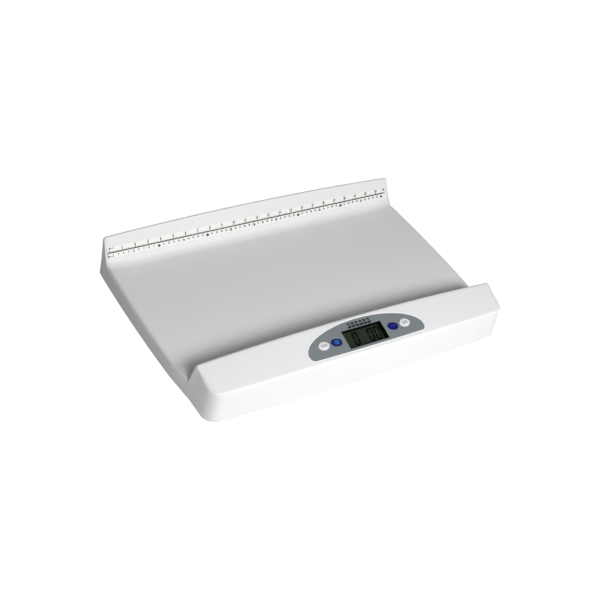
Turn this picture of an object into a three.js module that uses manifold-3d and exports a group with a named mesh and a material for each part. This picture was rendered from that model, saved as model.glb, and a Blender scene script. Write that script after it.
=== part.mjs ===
// Digital baby scale: a white tray shell with a raised display rail and a back wall, on four load cells.
// Millimetres, +Z up, front towards -Y. Shell coordinates run from the front corners of the rim:
// x right of the middle, y to the back, z up from the rim. The last group moves them so that the
// origin is under the middle of the object, on the surface that its feet stand on.

import * as THREE from 'three';
import { mergeVertices } from 'three/addons/utils/BufferGeometryUtils.js';
import Module from 'manifold-3d';

const wasm = await Module();
wasm.setup();

// Driving dimensions
const halfWidth = 311.4;
const depth = 392.5;
const shellWall = 3;
const frontBow = 7.3;
const sideBow = 6.4;
const sideFlare = -0.9;
const swellStart = 40;
const swellFull = 125;
const trayBowGain = 2;
const rimHeight = 5.5;
const frontCornerRadius = 22;
const rearCornerRadius = 10;

const railFrontHeight = 60.2;
const railFrontLean = 3.7;
const railTopDepth = 62.2;
const railTilt = THREE.MathUtils.degToRad(14.55);
const railArch = 10.1;
const railBackBow = 1;

const trayFrontHeight = 30.5;
const trayRearHeight = 33.5;
const trayDip = 5;
const trayFlatShare = 0.75;

const wallHeight = 75.6;
const wallArch = 5.7;
const wallLean = THREE.MathUtils.degToRad(30);
const crestThickness = 3.4;
const crestFall = 0.6;

const seatGap = 0.3;
const slideGap = 0.5;
const overrun = 5;

// Edge roundings of the shell
const edge = {
  railFront: 4, railBack: 5, railFoot: 6, wallFoot: 20, crest: 1,
  railEnd: 5, trayEnd: 7, wallEnd: 5, hem: 2, least: 0.4,
};

// Base pan
const pan = { recess: 0.6, thickness: 2.4, lipHeight: 6, lipThickness: 2 };
const panTop = pan.recess + pan.thickness;

// Posts that the base screws run into
const post = { radius: 4.5, padRadius: 6.5, padHeight: 2 };
const baseScrew = { headRadius: 3.6, headHeight: 2.2, radius: 1.6, length: 13, pocketDepth: 2.4 };
const postPlaces = [
  { acrossShare: 0.942, backShare: 0.058 },
  { acrossShare: 0.942, backShare: 0.5 },
  { acrossShare: 0.942, backShare: 0.945 },
];

// Stiffening ribs under the tray
const rib = { thickness: 2, clearance: 9 };
const ribAcrossShares = [-0.5, 0, 0.5];
const ribBackShares = [0.34, 0.55, 0.76];
const ribReachShare = 0.74;
const ribFrontShare = 0.2;
const ribRearShare = 0.89;

// Display panel on the top of the rail, measured in the tilted plane of the rail top
const panelSetback = 30.3;
const overlay = {
  halfLength: 121.8, crownHeight: 44, crownBase: -10.4, flatEdge: -20.7, cornerRadius: 9,
  border: 2.8, thickness: 0.5, recess: 0.6,
};
const windowSize = { length: 83.3, height: 35.8 };
const lens = { thickness: 1.2, margin: 1.6 };
const carrier = { wall: 1.4, drop: 5.4, flange: 4.6, pocketWall: 2 };
const lcd = { margin: 2.6, thickness: 2.8 };
const board = { length: 206, height: 40, thickness: 1.6, holeInset: 4.5 };

const key = {
  length: 21.5, height: 15.5, rise: 0.9, dome: 0.5, flange: 1.5, flangeThickness: 1.4, bodyDepth: 5.4,
  travel: 0.6, stemRadius: 2.2,
};
const keyLift = 1.3;
const keyNear = 60;
const keyFar = 86;
const tact = { size: 6.2, height: 3.5, plungerRadius: 1.6, plungerRise: 1.3, wellDepth: 2.2 };

// Load cells and feet
const cell = {
  size: 34, thickness: 2, slot: 2.2, tongue: 14, bed: 5, bedWall: 5, clampThickness: 2, lug: 8,
  gaugeLength: 9, gaugeWidth: 6, gaugeThickness: 1.1,
};
const peg = { radius: 1.5, rise: 0.9 };
const solder = 0.2;
const foot = {
  padRadius: 13, padThickness: 3, padEdge: 0.8, cupRadius: 14.5, cupThickness: 2.4, stemRadius: 3.5,
  clearanceRadius: 6,
};
const cellPlaces = [
  { name: 'front_left', acrossShare: -0.826, backShare: 0.126 },
  { name: 'front_right', acrossShare: 0.826, backShare: 0.126 },
  { name: 'rear_left', acrossShare: -0.826, backShare: 0.88 },
  { name: 'rear_right', acrossShare: 0.826, backShare: 0.88 },
];

// Battery bay under the rail
const battery = { radius: 7.1, length: 49.2, nubRadius: 2.75, nubHeight: 1.3, shoulder: 1 };
const bay = {
  front: 3.6, wall: 2, pitch: 15.2, headroom: 0.9, roof: 2, collar: 3, collarHeight: 3, rows: 3,
};
const contact = {
  size: 11, thickness: 0.5, springLength: 4.6, springBase: 4.4, springTip: 2.4, tab: 4, tabRise: 5,
};
const door = {
  thickness: 1.8, hookWidth: 9, hookReach: 3, hookThickness: 1.2, hookInset: 4, hookOffsetShare: 0.6,
  tongueWidth: 18, tongueLength: 11, tongueSlot: 0.9,
};

// Adaptor socket in the rear face
const jack = {
  acrossShare: 0.6, height: 13.5, barrelRadius: 4.2, boreRadius: 3.15, boreDepth: 9, pinRadius: 1,
  bodyWidth: 13, bodyHeight: 10.5, bodyDepth: 12, sunk: 0.6, cradleWall: 1.6, cradleRise: 4,
};

// Cables
const cableRadius = 1.2;
const leadRadius = 0.8;
const plug = { length: 10, width: 6, height: 5 };
const cableBend = 6;

// Tape
const tape = { length: 609.6, height: 20, thickness: 0.3, centreHeight: 52.2, shift: -3 };

const fine = 16;
const medium = 10;
const coarse = 8;

// Helpers that turn three.js geometry into solids and back

function solid(geometry) {
  const bare = geometry.clone();
  bare.deleteAttribute('normal');
  bare.deleteAttribute('uv');
  const merged = mergeVertices(bare, 1e-4);
  return new wasm.Manifold(new wasm.Mesh({
    numProp: 3,
    vertProperties: new Float32Array(merged.attributes.position.array),
    triVerts: new Uint32Array(merged.index.array),
  }));
}

function geometryOf(body) {
  const mesh = body.getMesh();
  const geometry = new THREE.BufferGeometry();
  geometry.setAttribute('position', new THREE.BufferAttribute(new Float32Array(mesh.vertProperties), 3));
  geometry.setIndex(new THREE.BufferAttribute(new Uint32Array(mesh.triVerts), 1));
  geometry.computeVertexNormals();
  return geometry;
}

function joined(list) {
  return list.reduce((whole, piece) => whole.add(piece));
}

function cut(body, tools) {
  return tools.reduce((whole, tool) => whole.subtract(tool), body);
}

// A block given by its lowest and highest corners
function block(low, high) {
  const size = [0, 1, 2].map((k) => high[k] - low[k]);
  const geometry = new THREE.BoxGeometry(...size);
  geometry.translate(...[0, 1, 2].map((k) => (high[k] + low[k]) / 2));
  return geometry;
}

// An upright cylinder from one height to another
function column(x, y, low, high, radius, sides = coarse) {
  const geometry = new THREE.CylinderGeometry(radius, radius, high - low, sides);
  geometry.rotateX(Math.PI / 2);
  geometry.translate(x, y, (high + low) / 2);
  return geometry;
}

// A turned piece: pairs of radius and height, standing upright at a place
function turned(profile, x, y, z, sides = coarse) {
  const geometry = new THREE.LatheGeometry(profile.map(([r, h]) => new THREE.Vector2(r, h)), sides);
  geometry.rotateX(Math.PI / 2);
  geometry.translate(x, y, z);
  return geometry;
}

function prism(shape, low, high, curveSegments = coarse) {
  const options = { depth: high - low, bevelEnabled: false, curveSegments };
  const geometry = new THREE.ExtrudeGeometry(shape, options);
  geometry.translate(0, 0, low);
  return geometry;
}

function rectangle(length, height) {
  const shape = new THREE.Shape();
  shape.moveTo(-length / 2, -height / 2);
  shape.lineTo(length / 2, -height / 2);
  shape.lineTo(length / 2, height / 2);
  shape.lineTo(-length / 2, height / 2);
  shape.closePath();
  return shape;
}

function ellipse(length, height, x = 0, y = 0) {
  const shape = new THREE.Shape();
  shape.absellipse(x, y, length / 2, height / 2, 0, 2 * Math.PI, false, 0);
  return shape;
}

// Section of a cable swept along a route that starts and ends on its points and rounds the ones between
function cable(points, radius, steps) {
  const guides = points.map((p) => new THREE.Vector3(...p));
  const middles = guides.slice(1).map((guide, k) => guide.clone().lerp(guides[k], 1 / 2));
  const route = new THREE.CurvePath();
  route.add(new THREE.LineCurve3(guides[0], middles[0]));
  middles.slice(1).forEach((middle, k) => {
    route.add(new THREE.QuadraticBezierCurve3(middles[k], guides[k + 1], middle));
  });
  route.add(new THREE.LineCurve3(middles[middles.length - 1], guides[guides.length - 1]));
  const sides = 6;
  const corners = Array.from({ length: sides }, (_, k) => {
    const angle = (2 * Math.PI * k) / sides;
    return new THREE.Vector2(radius * Math.cos(angle), radius * Math.sin(angle));
  });
  const section = new THREE.Shape(corners);
  return new THREE.ExtrudeGeometry(section, { extrudePath: route, steps, bevelEnabled: false });
}

// Shape of the shell

const arch = (x) => 1 - (x / halfWidth) ** 2;

// Half-width of the shell at a place on its side, which swells in plan from behind the rail's front
function sideReach(y, z) {
  const swell = Math.max(0, 1 - (2 * y / depth - 1) ** 2) * THREE.MathUtils.smoothstep(y, swellStart, swellFull);
  const heightShare = Math.min(1, Math.max(0, z / trayFrontHeight));
  return halfWidth + sideBow * swell + heightShare * (sideFlare + trayBowGain * swell);
}

function trayHeight(x, backShare) {
  const rise = Math.max(0, (Math.abs(x) / halfWidth - trayFlatShare) / (1 - trayFlatShare));
  const edgeHeight = trayFrontHeight + (trayRearHeight - trayFrontHeight) * backShare;
  return edgeHeight - trayDip * (1 - Math.min(1, rise) ** 2);
}

const wallFace = (z) => depth - crestThickness - (wallHeight - z) * Math.tan(wallLean);
const rearFace = (x) => depth + wallArch * Math.tan(wallLean) * arch(x);
const railTopFront = (x) => ({
  y: railFrontLean - frontBow * arch(x),
  z: railFrontHeight + (railArch - frontBow * Math.tan(railTilt)) * arch(x),
});

// Corners of the section at x, from the hem of the front to the hem of the rear. end is how far the
// shell's end rounding draws a corner in along x, y and z.
function sectionCorners(x, hem, inside) {
  const bow = arch(x);
  const front = railTopFront(x);
  const back = { y: railFrontLean + railTopDepth + railBackBow * bow };
  back.z = front.z + (back.y - front.y) * Math.tan(railTilt);
  const trayFront = trayHeight(x, 0);
  const trayRear = trayHeight(x, 1);
  const crest = wallHeight + wallArch * bow;
  const c = frontCornerRadius;
  const r = rearCornerRadius;
  const t = edge.trayEnd;
  const list = [
    { y: -frontBow * bow, z: hem, radius: 0, end: [c, c, 0] },
    { y: front.y, z: front.z, radius: edge.railFront, end: [c, c, edge.railEnd / 2] },
    { y: back.y, z: back.z, radius: edge.railBack, end: [edge.railEnd, -edge.railEnd / 2, edge.railEnd / 2] },
    { y: back.y, z: trayFront, radius: edge.railFoot, hollow: true, end: [t, 0, t / 2] },
    { y: wallFace(trayRear), z: trayRear, radius: edge.wallFoot, hollow: true, end: [t, 0, t] },
  ];
  if (inside) {
    const meet = trayRear + (rearFace(x) - wallFace(trayRear)) / Math.tan(wallLean);
    list.push({ y: rearFace(x), z: meet, radius: 0, end: [r, 0, edge.wallEnd] });
  } else {
    list.push({ y: wallFace(crest), z: crest, radius: edge.crest, end: [edge.wallEnd, 0, edge.wallEnd] });
    list.push({ y: rearFace(x), z: crest - crestFall, radius: edge.crest, end: [edge.wallEnd, 0, edge.wallEnd] });
  }
  list.push({ y: rearFace(x), z: hem, radius: 0, end: [r, -r, 0] });
  return list;
}

// The same corners moved into the material by one wall
function insetCorners(corners, wall) {
  if (wall === 0) return corners;
  const lines = corners.slice(1).map((b, k) => {
    const a = corners[k];
    const length = Math.hypot(b.y - a.y, b.z - a.z);
    const along = { y: (b.y - a.y) / length, z: (b.z - a.z) / length };
    return { y: a.y + along.z * wall, z: a.z - along.y * wall, along };
  });
  const shrink = (reach) => Math.sign(reach) * Math.max(0, Math.abs(reach) - wall);
  return corners.map((corner, k) => {
    const radius = corner.hollow ? corner.radius + wall : Math.max(edge.least, corner.radius - wall);
    const moved = { ...corner, radius, end: corner.end.map(shrink) };
    const before = lines[k - 1];
    const after = lines[k];
    if (!before || !after) {
      const line = before ?? after;
      const t = (corner.z - line.z) / line.along.z;
      return { ...moved, radius: 0, y: line.y + line.along.y * t, z: corner.z };
    }
    const cross = before.along.y * after.along.z - before.along.z * after.along.y;
    const t = ((after.y - before.y) * after.along.z - (after.z - before.z) * after.along.y) / cross;
    return { ...moved, y: before.y + before.along.y * t, z: before.z + before.along.z * t };
  });
}

const mix = (a, b, share) => a + (b - a) * share;

// Rounds each corner by an arc and puts rows of points on the long straights
function roundedRows(corners, arcSteps, straightRows) {
  const rows = [];
  corners.forEach((corner, k) => {
    const before = corners[k - 1];
    const after = corners[k + 1];
    if (!before || !after || corner.radius === 0) {
      rows.push({ y: corner.y, z: corner.z, end: corner.end });
    } else {
      const inAngle = Math.atan2(corner.z - before.z, corner.y - before.y);
      const outAngle = Math.atan2(after.z - corner.z, after.y - corner.y);
      const turn = Math.atan2(Math.sin(outAngle - inAngle), Math.cos(outAngle - inAngle));
      const tangent = corner.radius * Math.tan(Math.abs(turn) / 2);
      const side = Math.sign(turn);
      const start = { y: corner.y - tangent * Math.cos(inAngle), z: corner.z - tangent * Math.sin(inAngle) };
      const centre = {
        y: start.y - side * corner.radius * Math.sin(inAngle),
        z: start.z + side * corner.radius * Math.cos(inAngle),
      };
      const steps = corner.hollow ? arcSteps + 1 : arcSteps;
      for (let i = 0; i <= steps; i += 1) {
        const angle = inAngle + (turn * i) / steps;
        rows.push({
          y: centre.y + side * corner.radius * Math.sin(angle),
          z: centre.z - side * corner.radius * Math.cos(angle),
          end: corner.end,
        });
      }
    }
    const count = straightRows[k] ?? 0;
    const last = rows[rows.length - 1];
    for (let i = 1; i <= count; i += 1) {
      const share = i / (count + 1);
      rows.push({
        y: mix(last.y, after.y, share),
        z: mix(last.z, after.z, share),
        end: corner.end.map((reach, axis) => mix(reach, after.end[axis], share)),
      });
    }
  });
  return rows;
}

// Sections across the shell: planes across the main span, then the rounding of each end
const spanShares = [0, 0.2, 0.4, 0.6, 0.8, 0.9, 1];
const endSteps = 4;
const mainSpan = halfWidth - frontCornerRadius;

function sectionStations() {
  const right = spanShares.map((share) => ({ share, turn: 0 }));
  for (let i = 1; i <= endSteps; i += 1) right.push({ share: 1, turn: (i / endSteps) * (Math.PI / 2) });
  const left = right.slice(1).reverse().map((station) => ({ ...station, side: -1 }));
  return [...left, ...right.map((station) => ({ ...station, side: 1 }))];
}

// A solid with the outer form of the shell, drawn in by a wall, standing on z = hem
function shellForm(wall, hem) {
  const straightRows = [0, 1, 0, 6];
  const arcSteps = wall > 0 ? 1 : 2;
  const sections = sectionStations().map(({ share, turn, side }) => {
    const nominal = mainSpan * share + (halfWidth - mainSpan) * Math.sin(turn);
    const corners = insetCorners(sectionCorners(nominal, hem + edge.hem, wall > 0), wall);
    const rows = roundedRows(corners, arcSteps, straightRows);
    const first = rows[0].y;
    const last = rows[rows.length - 1].y;
    const place = (row, y, z, fallShare) => {
      const limit = sideReach(y, z) - wall;
      const x = mainSpan * share + (limit - mainSpan) * Math.sin(turn);
      const reach = Math.max(edge.least, row.end[0]);
      const past = Math.min(1, Math.max(0, (x - (limit - reach)) / reach));
      const fall = 1 - Math.sqrt(1 - past * past);
      return new THREE.Vector3(side * x, y + row.end[1] * fall, z - row.end[2] * fall * fallShare);
    };
    const upper = rows.map((row) => place(row, row.y, row.z, 1));
    const lengths = rows.map((row, k) => (k === 0 ? 0 : Math.hypot(row.y - rows[k - 1].y, edge.hem)));
    const total = lengths.reduce((sum, length) => sum + length, 0);
    let run = 0;
    const lower = rows.map((row, k) => {
      run += lengths[k];
      return place(row, mix(first, last, run / total), hem, 0);
    });
    return [...upper, ...lower.reverse()];
  });
  return loft(sections);
}

// Joins closed sections of equal counts into one solid, with a strip across each end
function loft(sections) {
  const count = sections[0].length;
  const positions = sections.flat().flatMap((p) => [p.x, p.y, p.z]);
  const index = [];
  const quad = (a, b, c, d) => index.push(a, b, c, a, c, d);
  for (let s = 0; s + 1 < sections.length; s += 1) {
    for (let k = 0; k < count; k += 1) {
      const next = (k + 1) % count;
      quad(s * count + k, (s + 1) * count + k, (s + 1) * count + next, s * count + next);
    }
  }
  const lastSection = (sections.length - 1) * count;
  for (let k = 0; k + 1 < count / 2; k += 1) {
    const partner = count - 1 - k;
    quad(k, k + 1, partner - 1, partner);
    quad(lastSection + k, lastSection + partner, lastSection + partner - 1, lastSection + k + 1);
  }
  const geometry = new THREE.BufferGeometry();
  geometry.setAttribute('position', new THREE.Float32BufferAttribute(positions, 3));
  geometry.setIndex(index);
  return geometry;
}

const shellFormSolid = (wall, hem) => solid(shellForm(wall, hem));

// Outline in plan at the rim, drawn in by a wall: bowed sides joined by round corners
function rimOutline(wall) {
  const right = halfWidth - wall;
  const points = [];
  const corner = (radius, x, y, from) => {
    for (let i = 1; i < 4; i += 1) {
      const angle = from + (i / 4) * (Math.PI / 2);
      points.push(new THREE.Vector2(x + radius * Math.cos(angle), y + radius * Math.sin(angle)));
    }
  };
  const frontRadius = frontCornerRadius - wall;
  const rearRadius = Math.max(edge.least, rearCornerRadius - wall);
  const frontSpan = right - frontRadius;
  const rearSpan = right - rearRadius;
  const sides = 8;
  for (let i = 0; i <= sides; i += 1) {
    const x = mix(-frontSpan, frontSpan, i / sides);
    points.push(new THREE.Vector2(x, wall - frontBow * arch(x)));
  }
  corner(frontRadius, frontSpan, wall + frontRadius, -Math.PI / 2);
  for (let i = 0; i <= sides; i += 1) {
    const y = mix(wall + frontRadius, depth - wall - rearRadius, i / sides);
    points.push(new THREE.Vector2(sideReach((i / sides) * depth, 0) - wall, y));
  }
  corner(rearRadius, rearSpan, depth - wall - rearRadius, 0);
  for (let i = 0; i <= sides; i += 1) {
    const x = mix(rearSpan, -rearSpan, i / sides);
    points.push(new THREE.Vector2(x, rearFace(x) - wall));
  }
  corner(rearRadius, -rearSpan, depth - wall - rearRadius, Math.PI / 2);
  for (let i = 0; i <= sides; i += 1) {
    const y = mix(depth - wall - rearRadius, wall + frontRadius, i / sides);
    points.push(new THREE.Vector2(wall - sideReach((1 - i / sides) * depth, 0), y));
  }
  corner(frontRadius, -frontSpan, wall + frontRadius, Math.PI);
  return new THREE.Shape(points);
}

// A layer that follows the arched top of the rail, in panel coordinates, between two depths
const surfaceDrop = (x) => railArch * (x / halfWidth) ** 2 * Math.cos(railTilt);

function topLayer(low, high) {
  const reachX = overlay.halfLength + overlay.border + overrun;
  const reachY = overlay.crownHeight + overlay.border + overrun;
  const steps = 10;
  const sections = Array.from({ length: steps + 1 }, (_, k) => {
    const x = mix(-reachX, reachX, k / steps);
    const drop = surfaceDrop(x);
    return [
      new THREE.Vector3(x, -reachY, high - drop), new THREE.Vector3(x, reachY, high - drop),
      new THREE.Vector3(x, reachY, low - drop), new THREE.Vector3(x, -reachY, low - drop),
    ];
  });
  return solid(loft(sections));
}

// Outline of the overlay: half an ellipse over a flat front edge with rounded corners
function overlayOutline(grow) {
  const a = overlay.halfLength + grow;
  const b = overlay.crownHeight + grow;
  const r = overlay.cornerRadius + grow;
  const h = overlay.crownBase - overlay.flatEdge + grow;
  const shape = new THREE.Shape();
  shape.moveTo(-a, overlay.crownBase);
  shape.absellipse(0, overlay.crownBase, a, b, Math.PI, 0, true, 0);
  shape.absellipse(a - r, overlay.crownBase, r, h, 0, -Math.PI / 2, true, 0);
  shape.absellipse(r - a, overlay.crownBase, r, h, -Math.PI / 2, -Math.PI, true, 0);
  return shape;
}

// Heights in panel coordinates, from the surface inwards
const overlayLow = -overlay.recess + seatGap / 2;
const overlayHigh = overlayLow + overlay.thickness;
const lensTop = overlayLow - seatGap;
const lensLow = lensTop - lens.thickness;
const carrierTop = lensLow - seatGap;
const carrierShoulder = carrierTop - carrier.drop;
const carrierLow = carrierShoulder - carrier.flange;
const boardTop = carrierLow - seatGap;
const boardLow = boardTop - board.thickness;
const tactTop = boardTop + tact.height;
const plungerTop = tactTop + tact.plungerRise;

const panelFront = railTopFront(0);
const panel = new THREE.Group();
panel.position.set(
  0,
  panelFront.y + panelSetback * Math.cos(railTilt),
  panelFront.z + panelSetback * Math.sin(railTilt),
);
panel.rotation.x = railTilt;
panel.updateMatrix();

const fromPanel = (geometry) => solid(geometry.clone().applyMatrix4(panel.matrix));
const fromPanelSolid = (body) => solid(geometryOf(body).applyMatrix4(panel.matrix));

const keyPlaces = [
  { name: 'white_left', x: -keyFar }, { name: 'blue_left', x: -keyNear },
  { name: 'blue_right', x: keyNear }, { name: 'white_right', x: keyFar },
];
const boardHoles = [[-1, -1], [1, -1], [1, 1], [-1, 1]].map(([sx, sy]) => [
  sx * (board.length / 2 - board.holeInset), sy * (board.height / 2 - board.holeInset),
]);
const cellCentre = (place) => [place.acrossShare * halfWidth, place.backShare * depth];
const posts = postPlaces.flatMap((place) => [-1, 1].map((side) => [
  side * place.acrossShare * halfWidth, place.backShare * depth,
]));
const postLow = panTop + post.padHeight + seatGap;
const holeRadius = baseScrew.radius + seatGap;

const cellTongueTopShare = 0.3;
const cellTongueRootShare = -0.25;

// Heights of the load cells
const cellLow = panTop + cell.bed + seatGap;
const clampLow = cellLow + cell.thickness + seatGap;
const clampTop = clampLow + cell.clampThickness;
const gaugeBack = cellTongueRootShare * cell.size;

// Battery bay sizes
const cellRun = battery.length + battery.nubHeight + contact.springLength;
const bayHalfInner = cellRun + 2 * contact.thickness + 4 * seatGap;
const bayReach = bay.wall / 2 + bayHalfInner;
const bayOuterX = bayReach + bay.wall;
const bayBack = bay.front + bay.rows * bay.pitch;
const bayOuterFront = bay.front - bay.wall;
const bayOuterBack = bayBack + bay.wall;
const doorTop = pan.recess + door.thickness;
const pocketTop = doorTop + seatGap;
const batteryHeight = doorTop + seatGap + battery.radius;
const roofLow = batteryHeight + battery.radius + bay.headroom;
const roofTop = roofLow + bay.roof;
const hookLow = panTop + seatGap;
const hookHigh = hookLow + door.hookThickness;
const hookSweep = Math.hypot(door.hookReach, hookHigh - pan.recess);

const jackX = jack.acrossShare * halfWidth;
const jackFace = rearFace(jackX);
const jackBodyBack = jackFace - shellWall - seatGap;

const shellTop = wallHeight + wallArch + railArch;

// Makes a cylinder that lies along Y
function lyingColumn(x, front, back, z, radius, sides = coarse) {
  const geometry = new THREE.CylinderGeometry(radius, radius, back - front, sides);
  geometry.translate(x, (front + back) / 2, z);
  return geometry;
}

// The white shell: tray, wall and rail in one moulding, open below, with posts and ribs inside
function trayShell() {
  const skin = shellFormSolid(0, 0).subtract(shellFormSolid(shellWall, -overrun));
  const postColumns = posts.map(([x, y]) => solid(column(x, y, postLow, shellTop, post.radius)));
  const boardPosts = boardHoles.flatMap(([x, y]) => [
    fromPanel(column(x, y, boardTop + seatGap, overrun, board.holeInset - seatGap)),
    fromPanel(column(x, y, boardLow - peg.rise, boardTop + overrun, peg.radius)),
  ]);
  const ribLow = panTop + rib.clearance;
  const ribFront = ribFrontShare * depth;
  const ribRear = ribRearShare * depth;
  const reach = ribReachShare * halfWidth;
  const half = rib.thickness / 2;
  const lengthwise = ribAcrossShares.map((share) => solid(block(
    [share * halfWidth - half, ribFront, ribLow], [share * halfWidth + half, ribRear, shellTop],
  )));
  const crosswise = ribBackShares.map((share) => solid(block(
    [-reach, share * depth - half, ribLow], [reach, share * depth + half, shellTop],
  )));
  const inside = joined([...postColumns, ...boardPosts, ...lengthwise, ...crosswise])
    .intersect(shellFormSolid(shellWall / 2, -overrun));
  const pilotHoles = posts.map(([x, y]) => solid(
    column(x, y, postLow - overrun, postLow + baseScrew.length, holeRadius),
  ));
  const label = topLayer(-overlay.recess, overrun)
    .intersect(solid(prism(overlayOutline(overlay.border + seatGap), -2 * overrun, 2 * overrun, fine)));
  const windowCut = prism(
    rectangle(
      windowSize.length + 2 * (lens.margin + seatGap), windowSize.height + 2 * (lens.margin + seatGap),
    ), carrierShoulder, overrun,
  );
  const keyCuts = keyPlaces.map(({ x }) => fromPanel(prism(
    ellipse(key.length + 2 * slideGap, key.height + 2 * slideGap, x, keyLift),
    -key.bodyDepth - surfaceDrop(x), overrun, 6,
  )));
  const jackHole = solid(lyingColumn(
    jackX, jackBodyBack - overrun, jackFace + overrun, jack.height, jack.barrelRadius + slideGap,
  ));
  return cut(skin.add(inside), [
    ...pilotHoles, fromPanelSolid(label), fromPanel(windowCut), ...keyCuts, jackHole,
  ]);
}

// The pan that closes the shell from below, with a lip, beds for the load cells and the battery bay
function basePan() {
  const lipTop = panTop + pan.lipHeight;
  const frontLeanOverLip = (railFrontLean * lipTop) / railFrontHeight;
  const wall = shellWall + slideGap + frontLeanOverLip;
  const plate = solid(prism(rimOutline(wall), pan.recess, panTop));
  const lip = solid(prism(rimOutline(wall), pan.recess, lipTop))
    .subtract(solid(prism(rimOutline(wall + pan.lipThickness), -overrun, lipTop + overrun)));
  const pads = posts.map(([x, y]) => solid(
    column(x, y, pan.recess, panTop + post.padHeight, post.padRadius),
  ));
  const bedHalf = cell.size / 2 + cell.slot;
  const beds = cellPlaces.flatMap((place) => {
    const [x, y] = cellCentre(place);
    const top = panTop + cell.bed;
    const lug = (side) => {
      const middle = y + side * (bedHalf + cell.lug / 2);
      const half = cell.lug / 2;
      return [
        solid(block([x - half, middle - half, pan.recess], [x + half, middle + half, clampLow - seatGap])),
        solid(column(x, middle, pan.recess, clampTop + peg.rise, peg.radius)),
      ];
    };
    return [
      solid(block([x - bedHalf, y - bedHalf, pan.recess], [x + bedHalf, y + bedHalf, top])),
      ...lug(-1), ...lug(1),
    ];
  });
  const bayBox = solid(block([-bayOuterX, bayOuterFront, pan.recess], [bayOuterX, bayOuterBack, roofTop]));
  const collar = solid(block(
    [-bayOuterX - bay.collar, bayOuterFront - bay.collar, pan.recess],
    [bayOuterX + bay.collar, bayOuterBack + bay.collar, panTop + bay.collarHeight],
  ));
  const cradleHalf = jack.bodyWidth / 2 + slideGap + jack.cradleWall;
  const jackLow = jack.height - jack.bodyHeight / 2;
  const cradle = solid(block(
    [jackX - cradleHalf, jackBodyBack - jack.bodyDepth, pan.recess],
    [jackX + cradleHalf, jackBodyBack - pan.lipThickness, jackLow + jack.cradleRise],
  ));
  const body = joined([plate, lip, ...pads, ...beds, bayBox, collar, cradle]);
  const screwCuts = posts.flatMap(([x, y]) => [
    solid(column(x, y, -overrun, pan.recess + baseScrew.pocketDepth, baseScrew.headRadius + slideGap)),
    solid(column(x, y, -overrun, postLow, holeRadius + seatGap)),
  ]);
  const cellCuts = cellPlaces.flatMap((place) => {
    const [x, y] = cellCentre(place);
    const open = cell.size / 2 - cell.bedWall;
    return [
      solid(block([x - open, y - open, panTop], [x + open, y + open, panTop + cell.bed + overrun])),
      solid(column(x, y, -overrun, panTop + overrun, foot.clearanceRadius)),
    ];
  });
  const pocket = solid(block(
    [-bayOuterX - slideGap, bayOuterFront - slideGap, -overrun],
    [bayOuterX + slideGap, bayOuterBack + slideGap, pocketTop],
  ));
  const halves = [-1, 1].map((side) => {
    const xs = [side * bay.wall / 2, side * bayReach].sort((a, b) => a - b);
    return solid(block([xs[0], bay.front, -overrun], [xs[1], bayBack, roofLow]));
  });
  const hookSlots = [-1, 1].map((side) => {
    const x = side * door.hookOffsetShare * bayOuterX;
    const half = door.hookWidth / 2 + slideGap;
    return solid(block(
      [x - half, bayOuterBack - door.hookInset - slideGap, pocketTop],
      [x + half, bayOuterBack + hookSweep + slideGap, pan.recess + hookSweep + slideGap],
    ));
  });
  const tabSlots = terminals.map(({ x, y }) => solid(block(
    [x - contact.thickness / 2 - slideGap, y - contact.tab / 2 - slideGap, roofLow - overrun],
    [x + contact.thickness / 2 + slideGap, y + contact.tab / 2 + slideGap, roofTop + overrun],
  )));
  const cradleCut = solid(block(
    [jackX - jack.bodyWidth / 2 - slideGap, jackBodyBack - jack.bodyDepth - overrun, jackLow - seatGap],
    [jackX + jack.bodyWidth / 2 + slideGap, jackFace + overrun, shellTop],
  ));
  return cut(body, [...screwCuts, ...cellCuts, pocket, ...halves, ...hookSlots, ...tabSlots, cradleCut]);
}

// Battery contacts, given by their run outwards from the divider of the bay
const plateRuns = [seatGap, bayHalfInner - seatGap - contact.thickness];
const rowCentre = (row) => bay.front + (row + 1 / 2) * bay.pitch;
const terminals = [-1, 1].map((side) => ({
  x: side * (bay.wall / 2 + plateRuns[1] + contact.thickness / 2),
  y: rowCentre(bay.rows - 1),
}));
const bayCells = [-1, 1].flatMap((side) => Array.from({ length: bay.rows }, (_, row) => ({
  side, row, nubOut: (row + (side > 0 ? 1 : 0)) % 2 === 0,
})));

// One strip across the three rows, with a coil cone at each cell's flat end and a tab on the outer strips
function contactStrip(side, k) {
  const run = plateRuns[k];
  const halfSize = contact.size / 2;
  const xs = [run, run + contact.thickness].map((r) => side * (bay.wall / 2 + r)).sort((a, b) => a - b);
  const parts = [solid(block(
    [xs[0], rowCentre(0) - halfSize, batteryHeight - halfSize],
    [xs[1], rowCentre(bay.rows - 1) + halfSize, batteryHeight + halfSize],
  ))];
  bayCells.filter((one) => one.side === side && one.nubOut === (k === 0)).forEach(({ row }) => {
    const cone = new THREE.CylinderGeometry(
      contact.springTip, contact.springBase, contact.springLength + contact.thickness, coarse,
    );
    const outward = k === 0 ? 1 : -1;
    cone.rotateZ((-Math.PI / 2) * side * outward);
    const middle = run + contact.thickness / 2 + (outward * contact.springLength) / 2;
    cone.translate(side * (bay.wall / 2 + middle), rowCentre(row), batteryHeight);
    parts.push(solid(cone));
  });
  if (k === 1) {
    const terminal = terminals[side < 0 ? 0 : 1];
    parts.push(solid(block(
      [xs[0], terminal.y - contact.tab / 2, batteryHeight],
      [xs[1], terminal.y + contact.tab / 2, roofTop + contact.tabRise],
    )));
  }
  return joined(parts);
}

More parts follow.
